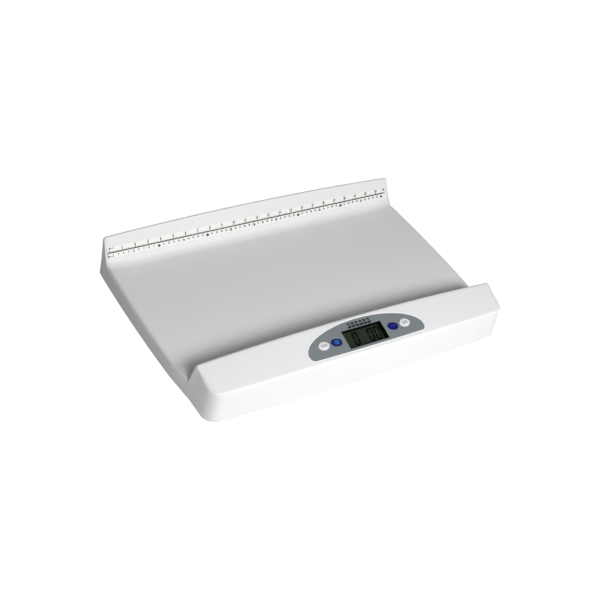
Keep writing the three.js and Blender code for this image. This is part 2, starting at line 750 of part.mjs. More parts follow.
function batteryCell({ side, row, nubOut }) {
  const run = plateRuns[0] + contact.thickness + seatGap + (nubOut ? contact.springLength : 0);
  const geometry = new THREE.LatheGeometry([
    [0, 0], [battery.radius, battery.shoulder / 2],
    [battery.radius, battery.length - battery.shoulder], [battery.nubRadius, battery.length],
    [battery.nubRadius, battery.length + battery.nubHeight], [0, battery.length + battery.nubHeight],
  ].map(([r, h]) => new THREE.Vector2(r, h)), medium);
  const whole = battery.length + battery.nubHeight;
  geometry.translate(0, -whole / 2, 0);
  geometry.rotateZ((-Math.PI / 2) * side * (nubOut ? 1 : -1));
  geometry.translate(side * (bay.wall / 2 + run + whole / 2), rowCentre(row), batteryHeight);
  return geometry;
}

// The door hangs on two hooks at its rear edge and has a sprung tongue at the front
function batteryDoor() {
  const plate = solid(block([-bayOuterX, bayOuterFront, pan.recess], [bayOuterX, bayOuterBack, doorTop]));
  const hooks = [-1, 1].flatMap((side) => {
    const x = side * door.hookOffsetShare * bayOuterX;
    const half = door.hookWidth / 2;
    const inset = bayOuterBack - door.hookInset;
    return [
      solid(block([x - half, inset, pan.recess], [x + half, bayOuterBack, hookHigh])),
      solid(block([x - half, inset, hookLow], [x + half, bayOuterBack + door.hookReach, hookHigh])),
    ];
  });
  const slots = [-1, 1].map((side) => {
    const x = side * door.tongueWidth / 2;
    const half = door.tongueSlot / 2;
    return solid(block(
      [x - half, bayOuterFront - overrun, -overrun],
      [x + half, bayOuterFront + door.tongueLength, doorTop + overrun],
    ));
  });
  return cut(joined([plate, ...hooks]), slots);
}

// Load cell: a steel plate whose slotted tongue bends under the foot's stem
function loadCellPlate() {
  const shape = rectangle(cell.size, cell.size);
  const half = cell.tongue / 2;
  const top = cellTongueTopShare * cell.size;
  const root = cellTongueRootShare * cell.size;
  const slot = new THREE.Path();
  slot.moveTo(-half - cell.slot, root);
  slot.lineTo(-half, root);
  slot.lineTo(-half, top);
  slot.lineTo(half, top);
  slot.lineTo(half, root);
  slot.lineTo(half + cell.slot, root);
  slot.lineTo(half + cell.slot, top + cell.slot);
  slot.lineTo(-half - cell.slot, top + cell.slot);
  slot.closePath();
  shape.holes.push(slot);
  const gauge = block(
    [-cell.gaugeLength / 2, gaugeBack - cell.gaugeWidth / 2, cell.thickness / 2],
    [cell.gaugeLength / 2, gaugeBack + cell.gaugeWidth / 2, cell.thickness + cell.gaugeThickness],
  );
  return solid(prism(shape, 0, cell.thickness)).add(solid(gauge));
}

function cellClamp() {
  const reach = cell.size / 2 + cell.slot;
  const shape = rectangle(2 * reach, 2 * (reach + cell.lug));
  const open = cell.size / 2 - cell.bedWall;
  shape.holes.push(new THREE.Path(rectangle(2 * open, 2 * open).getPoints()));
  [-1, 1].forEach((side) => {
    const hole = new THREE.Path();
    const radius = peg.radius + seatGap;
    hole.absellipse(0, side * (reach + cell.lug / 2), radius, radius, 0, 2 * Math.PI, false, 0);
    shape.holes.push(hole);
  });
  return prism(shape, 0, cell.clampThickness, 3);
}

const screwProfile = ({ headRadius, headHeight, radius, length }) => [
  [0, 0], [headRadius, headHeight / 4], [headRadius, headHeight], [radius, headHeight],
  [radius, headHeight + length], [0, headHeight + length],
];

function panScrew([x, y]) {
  const low = pan.recess + baseScrew.pocketDepth - seatGap - baseScrew.headHeight;
  return turned(screwProfile(baseScrew), x, y, low);
}

// Foot: a rubber pad under a cup whose stem reaches up to the cell's tongue
const cupLow = foot.padThickness + seatGap - rimHeight;
const cupTop = cupLow + foot.cupThickness;

function footPad() {
  return turned([
    [0, 0], [foot.padRadius - foot.padEdge, 0], [foot.padRadius, foot.padEdge],
    [foot.padRadius, foot.padThickness], [0, foot.padThickness],
  ], 0, 0, -rimHeight, fine);
}

function footCup() {
  return turned([
    [0, cupLow], [foot.cupRadius - foot.padEdge, cupLow], [foot.cupRadius, cupLow + foot.padEdge],
    [foot.cupRadius, cupTop], [foot.stemRadius, cupTop], [foot.stemRadius, cellLow - seatGap],
    [0, cellLow - seatGap],
  ], 0, 0, 0, fine);
}

// Soldered parts under the board: shares of its half-length and half-height, and their size
const chip = { length: 13, width: 13, height: 1.8 };
const converter = { length: 9, width: 6, height: 1.6 };
const crystal = { length: 10, width: 4.5, height: 3.4 };
const regulator = { length: 7, width: 6.5, height: 2.2 };
const capacitor = { length: 5, width: 5, height: 5.6 };
const frontPlugShare = 0.91;
const rearPlugShare = 0.78;
const jackPlugShare = 0.64;
const leadPlugShare = 0.5;
const plugYShare = -0.4;
const solderedParts = [
  { xShare: 0, yShare: 0.1, part: chip },
  { xShare: 0.24, yShare: 0.2, part: converter },
  { xShare: -0.24, yShare: 0.1, part: crystal },
  { xShare: -0.2, yShare: -0.5, part: regulator },
  { xShare: -0.45, yShare: 0.5, part: capacitor },
  { xShare: 0.45, yShare: 0.5, part: capacitor },
  ...[
    -frontPlugShare, -rearPlugShare, -leadPlugShare, leadPlugShare, jackPlugShare, rearPlugShare,
    frontPlugShare,
  ].map((xShare) => ({ xShare, yShare: plugYShare, part: plug })),
];

// Circuit board with its key switches above and its chips and sockets below, in panel coordinates
function circuitBoard() {
  const shape = rectangle(board.length, board.height);
  boardHoles.forEach(([x, y]) => {
    const hole = new THREE.Path();
    const radius = peg.radius + seatGap;
    hole.absellipse(x, y, radius, radius, 0, 2 * Math.PI, false, 0);
    shape.holes.push(hole);
  });
  const half = tact.size / 2;
  const switches = keyPlaces.map(({ x }) => solid(block(
    [x - half, keyLift - half, boardTop - solder], [x + half, keyLift + half, tactTop],
  )));
  const wells = keyPlaces.map(({ x }) => solid(
    column(x, keyLift, tactTop - tact.wellDepth, tactTop + overrun, tact.plungerRadius + seatGap),
  ));
  const soldered = solderedParts.map(({ xShare, yShare, part }) => {
    const x = (xShare * board.length) / 2;
    const y = (yShare * board.height) / 2;
    return solid(block(
      [x - part.length / 2, y - part.width / 2, boardLow - part.height],
      [x + part.length / 2, y + part.width / 2, boardLow + solder],
    ));
  });
  return cut(joined([solid(prism(shape, boardLow, boardTop, 3)), ...switches, ...soldered]), wells);
}

// Where a cable meets its plug, in shell coordinates
function plugEnd(share) {
  const point = new THREE.Vector3(
    (share * board.length) / 2, (plugYShare * board.height) / 2, boardLow - plug.height - seatGap,
  );
  return point.applyMatrix4(panel.matrix).toArray();
}

// Cable routes on the floor of the pan: shares of the half-width and of the depth
const frontRouteShares = [[0.44, 0.078], [0.35, 0.058]];
const rearRouteShares = [
  [0.66, 0.79], [0.61, 0.53], [0.59, 0.29], [0.49, 0.165], [0.36, 0.12], [0.29, 0.075],
];
const jackRouteShares = [
  [0.58, 0.9], [0.53, 0.79], [0.46, 0.53], [0.44, 0.29], [0.41, 0.175], [0.3, 0.125], [0.24, 0.08],
];
const laneHeight = panTop + seatGap + cableRadius;

function risingEnd(share, lane) {
  const end = plugEnd(share);
  const landing = [end[0], end[1], laneHeight];
  return [...lane, landing, end];
}

const onFloor = (shares, side) => shares.map(([x, y]) => [side * x * halfWidth, y * depth, laneHeight]);

function cellCable(place) {
  const side = Math.sign(place.acrossShare);
  const [x, y] = cellCentre(place);
  const front = place.backShare < 1 / 2;
  const over = clampTop + 3 * seatGap + cableRadius;
  const onGauge = cellLow + cell.thickness + cell.gaugeThickness + seatGap + cableRadius;
  const reach = cell.size / 2 + cell.slot;
  const start = [
    [x, y + gaugeBack, onGauge],
    [x - side * (cell.size / 2 - cell.bedWall), y + gaugeBack, over],
    [x - side * (reach + cell.lug), y + gaugeBack, over],
    [x - side * (reach + 2 * cell.lug), y + gaugeBack, laneHeight],
  ];
  const lane = [...start, ...onFloor(front ? frontRouteShares : rearRouteShares, side)];
  const plugShare = front ? frontPlugShare : rearPlugShare;
  const steps = front ? 12 : 20;
  return cable(risingEnd(side * plugShare, lane), cableRadius, steps);
}

function jackCable() {
  const start = [jackX, jackBodyBack - jack.bodyDepth - seatGap, jack.height];
  const away = [jackX, start[1] - cableBend, jack.height];
  return cable(risingEnd(jackPlugShare, [start, away, ...onFloor(jackRouteShares, 1)]), cableRadius, 22);
}

function batteryLead(side) {
  const terminal = terminals[side < 0 ? 0 : 1];
  const start = [terminal.x, terminal.y, roofTop + contact.tabRise + seatGap];
  const end = plugEnd(side * leadPlugShare);
  const low = [start[0], start[1], start[2] + plug.height];
  const high = [end[0], end[1], end[2] - plug.height];
  return cable([start, low, high, end], leadRadius, 6);
}

function powerJack() {
  const back = jackFace - jack.sunk;
  const body = solid(block(
    [jackX - jack.bodyWidth / 2, jackBodyBack - jack.bodyDepth, jack.height - jack.bodyHeight / 2],
    [jackX + jack.bodyWidth / 2, jackBodyBack, jack.height + jack.bodyHeight / 2],
  ));
  const barrel = solid(lyingColumn(jackX, jackBodyBack - jack.sunk, back, jack.height, jack.barrelRadius));
  const bore = solid(lyingColumn(jackX, back - jack.boreDepth, back + overrun, jack.height, jack.boreRadius));
  const pin = solid(lyingColumn(
    jackX, back - jack.boreDepth - jack.sunk, back - jack.sunk, jack.height, jack.pinRadius, coarse / 2,
  ));
  return body.add(barrel).subtract(bore).add(pin);
}

// Tape on the leaning face of the wall
function tapeGroup() {
  const group = new THREE.Group();
  const offset = seatGap + tape.thickness / 2;
  group.position.set(
    tape.shift,
    wallFace(tape.centreHeight) - offset * Math.cos(wallLean),
    tape.centreHeight + offset * Math.sin(wallLean),
  );
  group.rotation.x = -wallLean;
  return group;
}

// Display pieces, in panel coordinates

function displayOverlay() {
  const outline = solid(prism(overlayOutline(overlay.border), -2 * overrun, 2 * overrun, fine));
  const window = solid(prism(rectangle(windowSize.length, windowSize.height), -2 * overrun, 2 * overrun));
  const holes = keyPlaces.map(({ x }) => solid(prism(
    ellipse(key.length + 2 * slideGap, key.height + 2 * slideGap, x, keyLift), -2 * overrun, 2 * overrun, 6,
  )));
  return cut(topLayer(overlayLow, overlayHigh).intersect(outline), [window, ...holes]);
}

function displayLens() {
  const shape = rectangle(windowSize.length + 2 * lens.margin, windowSize.height + 2 * lens.margin);
  return prism(shape, lensLow, lensTop);
}

const lcdSize = [windowSize.length + 2 * lcd.margin, windowSize.height + 2 * lcd.margin];
const lcdTop = carrierShoulder - carrier.wall;

function lcdCarrier() {
  const throat = rectangle(windowSize.length + 2 * carrier.wall, windowSize.height + 2 * carrier.wall);
  const skirt = rectangle(
    lcdSize[0] + 2 * (seatGap + carrier.pocketWall), lcdSize[1] + 2 * (seatGap + carrier.pocketWall),
  );
  const pocket = rectangle(lcdSize[0] + 2 * seatGap, lcdSize[1] + 2 * seatGap);
  const body = [prism(throat, carrierLow, carrierTop), prism(skirt, carrierLow, carrierShoulder)];
  return cut(joined(body.map(solid)), [
    solid(prism(rectangle(windowSize.length, windowSize.height), carrierLow - overrun, overrun)),
    solid(prism(pocket, carrierLow - overrun, lcdTop + seatGap)),
  ]);
}

const lcdGlass = () => prism(rectangle(...lcdSize), lcdTop - lcd.thickness, lcdTop);

function keyCap(x) {
  const shape = ellipse(key.length, key.height);
  const body = new THREE.ExtrudeGeometry(shape, {
    depth: key.bodyDepth + key.rise - 2 * key.dome,
    bevelEnabled: true,
    bevelThickness: key.dome,
    bevelSize: key.dome,
    bevelOffset: -key.dome,
    bevelSegments: 1,
    curveSegments: 6,
  });
  body.translate(0, 0, key.dome - key.bodyDepth);
  const flange = prism(
    ellipse(key.length + 2 * key.flange, key.height + 2 * key.flange),
    -key.bodyDepth, key.flangeThickness - key.bodyDepth, 6,
  );
  const stemLow = plungerTop + seatGap + surfaceDrop(x);
  const stem = column(0, 0, stemLow, -key.bodyDepth / 2, key.stemRadius);
  const geometry = geometryOf(joined([solid(body), solid(flange), solid(stem)]));
  geometry.translate(x, keyLift, -surfaceDrop(x));
  return geometry;
}

function keyPlunger(x) {
  const low = tactTop - tact.wellDepth + key.travel + seatGap;
  return column(x, keyLift, low, plungerTop, tact.plungerRadius);
}

// Materials
const finish = (color, roughness, metalness = 0) => () => (
  new THREE.MeshStandardMaterial({ color, roughness, metalness })
);
const whiteShell = finish(0xeef0f3, 0.42);
const whitePan = finish(0xdfe1e3, 0.6);
const paperTape = finish(0xf3f1e6, 0.5);
const greyLabel = finish(0x848c8c, 0.4);
const clearPlastic = finish(0xe6efee, 0.05);
const blackPlastic = finish(0x141516, 0.5);
const lcdGreen = finish(0x3a4034, 0.25);
const boardGreen = finish(0x1d5b35, 0.5);
const ivoryPlastic = finish(0xe3ddc8, 0.5);
const whiteKey = finish(0xf2f3f6, 0.35);
const blueKey = finish(0x12268c, 0.35);
const steel = finish(0xa9adb0, 0.35, 1);
const springSteel = finish(0xc4c7c9, 0.3, 1);
const rubber = finish(0x2b2c2e, 0.85);
const greyPlastic = finish(0x8f9396, 0.55);
const batteryWrap = finish(0x2f3134, 0.4, 0.3);
const cableGrey = finish(0x9b9ea1, 0.6);
const leadRed = finish(0xb01818, 0.55);
const leadBlack = finish(0x111111, 0.55);

function piece(parent, name, shape, material, place = [0, 0, 0]) {
  const geometry = shape.isBufferGeometry ? shape : geometryOf(shape);
  const mesh = new THREE.Mesh(geometry, material());
  mesh.name = name;
  mesh.position.set(...place);
  parent.add(mesh);
  return mesh;
}

// Assembly in shell coordinates
const shell = new THREE.Group();
shell.position.set(0, -(depth + wallArch * Math.tan(wallLean) - frontBow) / 2, rimHeight);

piece(shell, 'tray_shell', trayShell(), whiteShell);
piece(shell, 'base_pan', basePan(), whitePan);
posts.forEach((place, k) => piece(shell, `base_screw_${k + 1}`, panScrew(place), steel));

const tapeHolder = tapeGroup();
shell.add(tapeHolder);
piece(
  tapeHolder, 'measuring_tape',
  block(
    [-tape.length / 2, -tape.thickness / 2, -tape.height / 2],
    [tape.length / 2, tape.thickness / 2, tape.height / 2],
  ), paperTape,
);

cellPlaces.forEach((place) => {
  const [x, y] = cellCentre(place);
  piece(shell, `load_cell_${place.name}`, loadCellPlate(), steel, [x, y, cellLow]);
  piece(shell, `cell_clamp_${place.name}`, cellClamp(), greyPlastic, [x, y, clampLow]);
  piece(shell, `foot_cup_${place.name}`, footCup(), greyPlastic, [x, y, 0]);
  piece(shell, `foot_pad_${place.name}`, footPad(), rubber, [x, y, 0]);
  piece(shell, `cell_cable_${place.name}`, cellCable(place), cableGrey);
});

piece(shell, 'battery_door', batteryDoor(), whitePan);
bayCells.forEach((bayCell, k) => piece(shell, `battery_${k + 1}`, batteryCell(bayCell), batteryWrap));
[-1, 1].forEach((side) => ['inner', 'outer'].forEach((where, k) => {
  piece(shell, `contact_strip_${side < 0 ? 'left' : 'right'}_${where}`, contactStrip(side, k), springSteel);
}));
piece(shell, 'battery_lead_black', batteryLead(-1), leadBlack);
piece(shell, 'battery_lead_red', batteryLead(1), leadRed);
piece(shell, 'power_jack', powerJack(), blackPlastic);
piece(shell, 'jack_cable', jackCable(), leadBlack);

shell.add(panel);
piece(panel, 'display_overlay', displayOverlay(), greyLabel);
piece(panel, 'display_lens', displayLens(), clearPlastic);
piece(panel, 'lcd_carrier', lcdCarrier(), blackPlastic);
piece(panel, 'lcd_glass', lcdGlass(), lcdGreen);
piece(panel, 'main_board', circuitBoard(), boardGreen);
keyPlaces.forEach(({ name, x }) => {
  piece(panel, `button_${name}`, keyCap(x), name.startsWith('white') ? whiteKey : blueKey);
  piece(panel, `switch_plunger_${name}`, keyPlunger(x), ivoryPlastic);
});

const scale = new THREE.Group();
scale.add(shell);
export default scale;
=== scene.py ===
import math

import bmesh
import bpy
import numpy as np
from mathutils import Matrix, Vector


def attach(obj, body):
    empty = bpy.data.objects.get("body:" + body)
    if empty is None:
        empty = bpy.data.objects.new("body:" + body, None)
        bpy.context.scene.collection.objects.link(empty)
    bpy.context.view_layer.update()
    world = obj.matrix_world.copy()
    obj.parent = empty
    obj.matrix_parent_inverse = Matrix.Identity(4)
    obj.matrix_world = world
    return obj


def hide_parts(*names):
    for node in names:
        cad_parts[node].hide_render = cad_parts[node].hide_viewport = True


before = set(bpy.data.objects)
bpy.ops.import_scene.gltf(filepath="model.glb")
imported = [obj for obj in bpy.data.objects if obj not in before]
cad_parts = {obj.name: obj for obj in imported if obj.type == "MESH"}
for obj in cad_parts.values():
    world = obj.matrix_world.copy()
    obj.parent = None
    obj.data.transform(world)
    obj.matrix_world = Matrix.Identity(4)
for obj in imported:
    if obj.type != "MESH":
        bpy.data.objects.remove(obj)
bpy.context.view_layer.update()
print("frame loaded")

mm = 0.001

# The white shell, in millimetres from the front corners of its rim
shell = {
    "halfWidth": 311.4, "depth": 392.5, "wall": 3, "frontBow": 7.3, "sideBow": 6.4, "sideFlare": -0.9,
    "trayBowGain": 2, "swellStart": 40, "swellFull": 125, "frontCorner": 22, "rearCorner": 10,
    "railHeight": 60.2, "railLean": 3.7, "railDepth": 62.2, "railTilt": math.radians(14.55), "railArch": 10.1,
    "railBackBow": 1, "trayFront": 30.5, "trayRear": 33.5, "trayDip": 5, "trayFlatShare": 0.75,
    "wallHeight": 75.6, "wallArch": 5.7, "wallLean": math.radians(30), "crest": 3.4, "crestFall": 0.6,
    "railFrontRadius": 4, "railBackRadius": 5, "railFootRadius": 6, "wallFootRadius": 20, "crestRadius": 1,
    "railEnd": 5, "trayEnd": 7, "wallEnd": 5, "hem": 2, "least": 0.4, "clear": 5.5, "smoothAngle": 28,
}
# Steps of its mesh: fine for what shows, coarse for the hollow
shellSteps = {
    "fine": {"span": 44, "end": 14, "arc": 7, "cap": 9, "straight": [10, 14, 6, 40, 14, 1, 14, 0]},
    "coarse": {"span": 12, "end": 5, "arc": 2, "cap": 2, "straight": [0, 1, 0, 4, 0, 0, 0]},
}
# The frame has its origin on the ground, below the middle of the shell's depth
deepest = shell["depth"] + shell["wallArch"] * math.tan(shell["wallLean"])
shellOrigin = [0, -(deepest - shell["frontBow"]) / 2, shell["clear"]]


def shellToFrame(points):
    return (np.asarray(points, float) + shellOrigin) * mm


# Mesh helpers

# With outward, the faces are turned to look outwards, after points closer than merge are joined
def meshObject(name, vertices, faces, smoothAngle=35, merge=0.0, outward=False):
    mesh = bpy.data.meshes.new(name)
    mesh.from_pydata(np.asarray(vertices, float).tolist(), [], [list(face) for face in faces])
    if outward:
        work = bmesh.new()
        work.from_mesh(mesh)
        if merge > 0:
            bmesh.ops.remove_doubles(work, verts=work.verts, dist=merge)
            bmesh.ops.dissolve_degenerate(work, edges=work.edges, dist=merge)
        bmesh.ops.recalc_face_normals(work, faces=work.faces)
        work.to_mesh(mesh)
        work.free()
    mesh.validate()
    mesh.update()
    piece = bpy.data.objects.new(name, mesh)
    bpy.context.scene.collection.objects.link(piece)
    smooth(piece, smoothAngle)
    return piece


def smooth(piece, angle):
    mesh = piece.data
    mesh.polygons.foreach_set("use_smooth", np.ones(len(mesh.polygons), bool))
    mesh.set_sharp_from_angle(angle=math.radians(angle))


# Faces of a grid of rows and columns of points, numbered row by row
def gridFaces(rows, columns, wrapColumns=False, first=0):
    a, b = np.meshgrid(np.arange(rows - 1), np.arange(columns if wrapColumns else columns - 1), indexing="ij")
    here, below = a * columns, (a + 1) * columns
    right = (b + 1) % columns
    faces = np.stack([here + b, here + right, below + right, below + b], -1)
    return (faces.reshape(-1, 4) + first).tolist()


# Evaluates a piece's modifiers into its mesh
def bake(piece, smoothAngle):
    depsgraph = bpy.context.evaluated_depsgraph_get()
    mesh = bpy.data.meshes.new_from_object(piece.evaluated_get(depsgraph))
    old = piece.data
    piece.modifiers.clear()
    piece.data = mesh
    mesh.name = old.name
    bpy.data.meshes.remove(old)
    smooth(piece, smoothAngle)


def cutWith(piece, cutters, smoothAngle=35):
    for cutter in cutters:
        modifier = piece.modifiers.new("cut", "BOOLEAN")
        modifier.operation = "DIFFERENCE"
        modifier.solver = "EXACT"
        modifier.object = cutter
    bake(piece, smoothAngle)
    for cutter in cutters:
        mesh = cutter.data
        bpy.data.objects.remove(cutter)
        bpy.data.meshes.remove(mesh)


# A prism over an outline, between two heights
def prismObject(name, outline, low, high, toFrame):
    count = len(outline)
    lower = np.column_stack([outline, np.full(count, low)])
    upper = np.column_stack([outline, np.full(count, high)])
    faces = gridFaces(2, count, wrapColumns=True)
    faces.append(list(range(count))[::-1])
    faces.append(list(range(count, 2 * count)))
    return meshObject(name, toFrame(np.vstack([lower, upper])), faces, outward=True)


def ellipsePoints(length, height, x, y, count=96):
    turn = np.linspace(0, 2 * np.pi, count, endpoint=False)
    return np.column_stack([x + length / 2 * np.cos(turn), y + height / 2 * np.sin(turn)])


def rectanglePoints(length, height):
    return [[x * length / 2, y * height / 2] for x, y in ((1, 1), (-1, 1), (-1, -1), (1, -1))]


# A turned piece from its profile of radius and height
def turnedObject(name, profile, centre, count=96):
    profile = np.asarray(profile, float)
    turn = np.linspace(0, 2 * np.pi, count, endpoint=False)
    radius, height = profile[:, 0], profile[:, 1]
    grid = np.stack([
        centre[0] + radius[:, None] * np.cos(turn), centre[1] + radius[:, None] * np.sin(turn),
        centre[2] + np.repeat(height[:, None], count, 1),
    ], -1)
    vertices = shellToFrame(grid.reshape(-1, 3))
    faces = gridFaces(len(profile), count, wrapColumns=True)
    return meshObject(name, vertices, faces, merge=2e-6, outward=True)


# Material helpers

def newMaterial(name):
    material = bpy.data.materials.new(name)
    material.use_nodes = True
    nodes = material.node_tree.nodes
    nodes.clear()
    output = nodes.new("ShaderNodeOutputMaterial")
    shader = nodes.new("ShaderNodeBsdfPrincipled")
    material.node_tree.links.new(shader.outputs["BSDF"], output.inputs["Surface"])
    return material, nodes, material.node_tree.links, shader


def setInputs(node, values):
    for name, value in values.items():
        node.inputs[name].default_value = value


def noiseNode(nodes, links, coordinates, scale, detail=4.0, roughness=0.55):
    noise = nodes.new("ShaderNodeTexNoise")
    setInputs(noise, {"Scale": scale, "Detail": detail, "Roughness": roughness})
    links.new(coordinates, noise.inputs["Vector"])
    return noise.outputs["Fac"]


def rangeNode(nodes, links, value, low, high, fromLow=0.3, fromHigh=0.7):
    node = nodes.new("ShaderNodeMapRange")
    setInputs(node, {"From Min": fromLow, "From Max": fromHigh, "To Min": low, "To Max": high})
    links.new(value, node.inputs["Value"])
    return node.outputs["Result"]


def mixColour(nodes, links, factor, first, second):
    node = nodes.new("ShaderNodeMix")
    node.data_type = "RGBA"
    links.new(factor, node.inputs["Factor"])
    for socket, colour in ((node.inputs["A"], first), (node.inputs["B"], second)):
        if hasattr(colour, "is_linked"):
            links.new(colour, socket)
        else:
            socket.default_value = (*colour, 1)
    return node.outputs["Result"]


# Noise scales per metre and details that all moulded and coated surfaces share
surface = {
    "driftScale": 14, "glossScale": 180, "glossDetail": 6, "grainDetail": 2, "grainStrength": 0.6,
    "coatRoughness": 0.12,
}


# Moulded or coated surface: slow colour drift, uneven gloss and a fine grain
def mouldedMaterial(name, colour, roughness, drift=0.03, grainScale=2600, grainDepth=0.00001, metallic=0.0,
                    coat=0.0, glossSpread=0.06, specular=0.5):
    material, nodes, links, shader = newMaterial(name)
    coordinates = nodes.new("ShaderNodeTexCoord").outputs["Object"]
    slow = noiseNode(nodes, links, coordinates, surface["driftScale"])
    lighter = tuple(min(1.0, c * (1 + drift)) for c in colour)
    darker = tuple(c * (1 - drift) for c in colour)
    shade = mixColour(nodes, links, rangeNode(nodes, links, slow, 0, 1), darker, lighter)
    links.new(shade, shader.inputs["Base Color"])
    fine = noiseNode(nodes, links, coordinates, surface["glossScale"], surface["glossDetail"])
    gloss = rangeNode(nodes, links, fine, roughness - glossSpread, roughness + glossSpread)
    links.new(gloss, shader.inputs["Roughness"])
    grain = noiseNode(nodes, links, coordinates, grainScale, surface["grainDetail"])
    bump = nodes.new("ShaderNodeBump")
    links.new(grain, bump.inputs["Height"])
    links.new(bump.outputs["Normal"], shader.inputs["Normal"])
    setInputs(bump, {"Strength": surface["grainStrength"], "Distance": grainDepth})
    setInputs(shader, {
        "Metallic": metallic, "Coat Weight": coat, "Coat Roughness": surface["coatRoughness"],
        "Specular IOR Level": specular,
    })
    return material


# Looks of these surfaces
looks = {
    "shellPlastic": {
        "colour": (0.88, 0.882, 0.888), "roughness": 0.46, "drift": 0.008, "grainDepth": 0.000006,
        "glossSpread": 0.03, "specular": 0.35,
    },
    "labelBorder": {
        "colour": (0.97, 0.97, 0.965), "roughness": 0.3, "drift": 0.005, "grainScale": 900,
        "grainDepth": 0.000008,
    },
    "labelField": {
        "colour": (0.213, 0.242, 0.255), "roughness": 0.34, "grainScale": 900, "grainDepth": 0.000012,
    },
    "digitInk": {"colour": (0.002, 0.002, 0.002), "roughness": 0.5, "drift": 0.1, "specular": 0.05},
    "blackInk": {
        "colour": (0.018, 0.018, 0.02), "roughness": 0.45, "drift": 0.2, "grainScale": 1800,
        "grainDepth": 0.000004,
    },
    "footRubber": {
        "colour": (0.035, 0.036, 0.038), "roughness": 0.75, "drift": 0.15, "grainScale": 900,
        "grainDepth": 0.00004, "specular": 0.3,
    },
    "footCup": {"colour": (0.28, 0.29, 0.3), "roughness": 0.5, "drift": 0.04},
    "panPlastic": {
        "colour": (0.74, 0.75, 0.76), "roughness": 0.52, "drift": 0.015, "grainScale": 1400,
        "grainDepth": 0.00002,
    },
    "screwSteel": {"colour": (0.58, 0.59, 0.6), "roughness": 0.32, "drift": 0.08, "metallic": 1.0},
    "springSteel": {"colour": (0.7, 0.7, 0.68), "roughness": 0.25, "drift": 0.06, "metallic": 1.0},
    "blackPlastic": {"colour": (0.006, 0.006, 0.007), "roughness": 0.5, "drift": 0.1, "specular": 0.2},
    "boardGreen": {"colour": (0.02, 0.12, 0.05), "roughness": 0.4, "drift": 0.15, "grainScale": 400},
    "plungerIvory": {"colour": (0.72, 0.68, 0.55), "roughness": 0.45},
    "greyPlastic": {"colour": (0.3, 0.31, 0.32), "roughness": 0.5},
    "batteryWrap": {"colour": (0.04, 0.042, 0.045), "roughness": 0.35, "drift": 0.3, "metallic": 0.4},
    "wireGrey": {"colour": (0.35, 0.36, 0.37), "roughness": 0.55},
    "wireRed": {"colour": (0.42, 0.012, 0.012), "roughness": 0.5},
    "wireBlack": {"colour": (0.01, 0.01, 0.01), "roughness": 0.5},
    "tapeFilm": {
        "colour": (0.96, 0.96, 0.93), "roughness": 0.3, "drift": 0.012, "grainScale": 700,
        "grainDepth": 0.000005,
    },
}


def lookMaterial(name):
    return mouldedMaterial(name, **looks[name])


def setMaterials(piece, *materials):
    piece.data.materials.clear()
    for material in materials:
        piece.data.materials.append(material)


def nodeMaterial(names, material):
    for name in names:
        setMaterials(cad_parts[name], material)


corners = ["front_left", "front_right", "rear_left", "rear_right"]
keys = ["white_left", "blue_left", "blue_right", "white_right"]
strips = ["left_inner", "left_outer", "right_inner", "right_outer"]

# The camera of the photograph
camera = {
    "place": (-1.20423, -1.25123, 1.45574),
    "right": (0.81889216, -0.53058454, 0.2188508),
    "up": (0.21756692, 0.63981584, 0.7370891),
    "back": (-0.53111229, -0.55598179, 0.63937781),
    "lens": 75.35, "sensor": 36, "near": 0.05, "far": 30,
}


def makeCamera():
    data = bpy.data.cameras.new("photoCamera")
    data.lens = camera["lens"]
    data.sensor_width = camera["sensor"]
    data.clip_start = camera["near"]
    data.clip_end = camera["far"]
    holder = bpy.data.objects.new("photoCamera", data)
    axes = Matrix([camera["right"], camera["up"], camera["back"]]).transposed().to_4x4()
    holder.matrix_world = Matrix.Translation(camera["place"]) @ axes
    bpy.context.scene.collection.objects.link(holder)
    bpy.context.scene.camera = holder


makeCamera()
print("camera placed")

mainSpan = shell["halfWidth"] - shell["frontCorner"]


# Bow of the arched edges: 1 in the middle, 0 at the corners
def arch(x):
    return 1 - (x / shell["halfWidth"]) ** 2


# Depth of the back wall's leaning face at a height
def wallFace(z):
    return shell["depth"] - shell["crest"] - (shell["wallHeight"] - z) * math.tan(shell["wallLean"])


# Depth of the upright rear face
def rearFace(x):
    return shell["depth"] + shell["wallArch"] * math.tan(shell["wallLean"]) * arch(x)


# Half-width at a place on the side: swell = 1 - (2y/depth - 1)^2, eased in behind the rail's front by the
# smooth step t^2 (3 - 2t)
def sideReach(y, z):
    ease = np.clip((y - shell["swellStart"]) / (shell["swellFull"] - shell["swellStart"]), 0, 1)
    swell = np.maximum(0, 1 - (2 * y / shell["depth"] - 1) ** 2) * ease ** 2 * (3 - 2 * ease)
    heightShare = np.clip(z / shell["trayFront"], 0, 1)
    return (shell["halfWidth"] + shell["sideBow"] * swell
            + heightShare * (shell["sideFlare"] + shell["trayBowGain"] * swell))


# The tray's dip is level up to a share of the half-width, and rises beyond it by a parabola
def trayHeight(x, backShare):
    past = np.maximum(0, np.abs(x) / shell["halfWidth"] - shell["trayFlatShare"])
    rise = past / (1 - shell["trayFlatShare"])
    edgeHeight = shell["trayFront"] + (shell["trayRear"] - shell["trayFront"]) * backShare
    return edgeHeight - shell["trayDip"] * (1 - np.minimum(1, rise) ** 2)


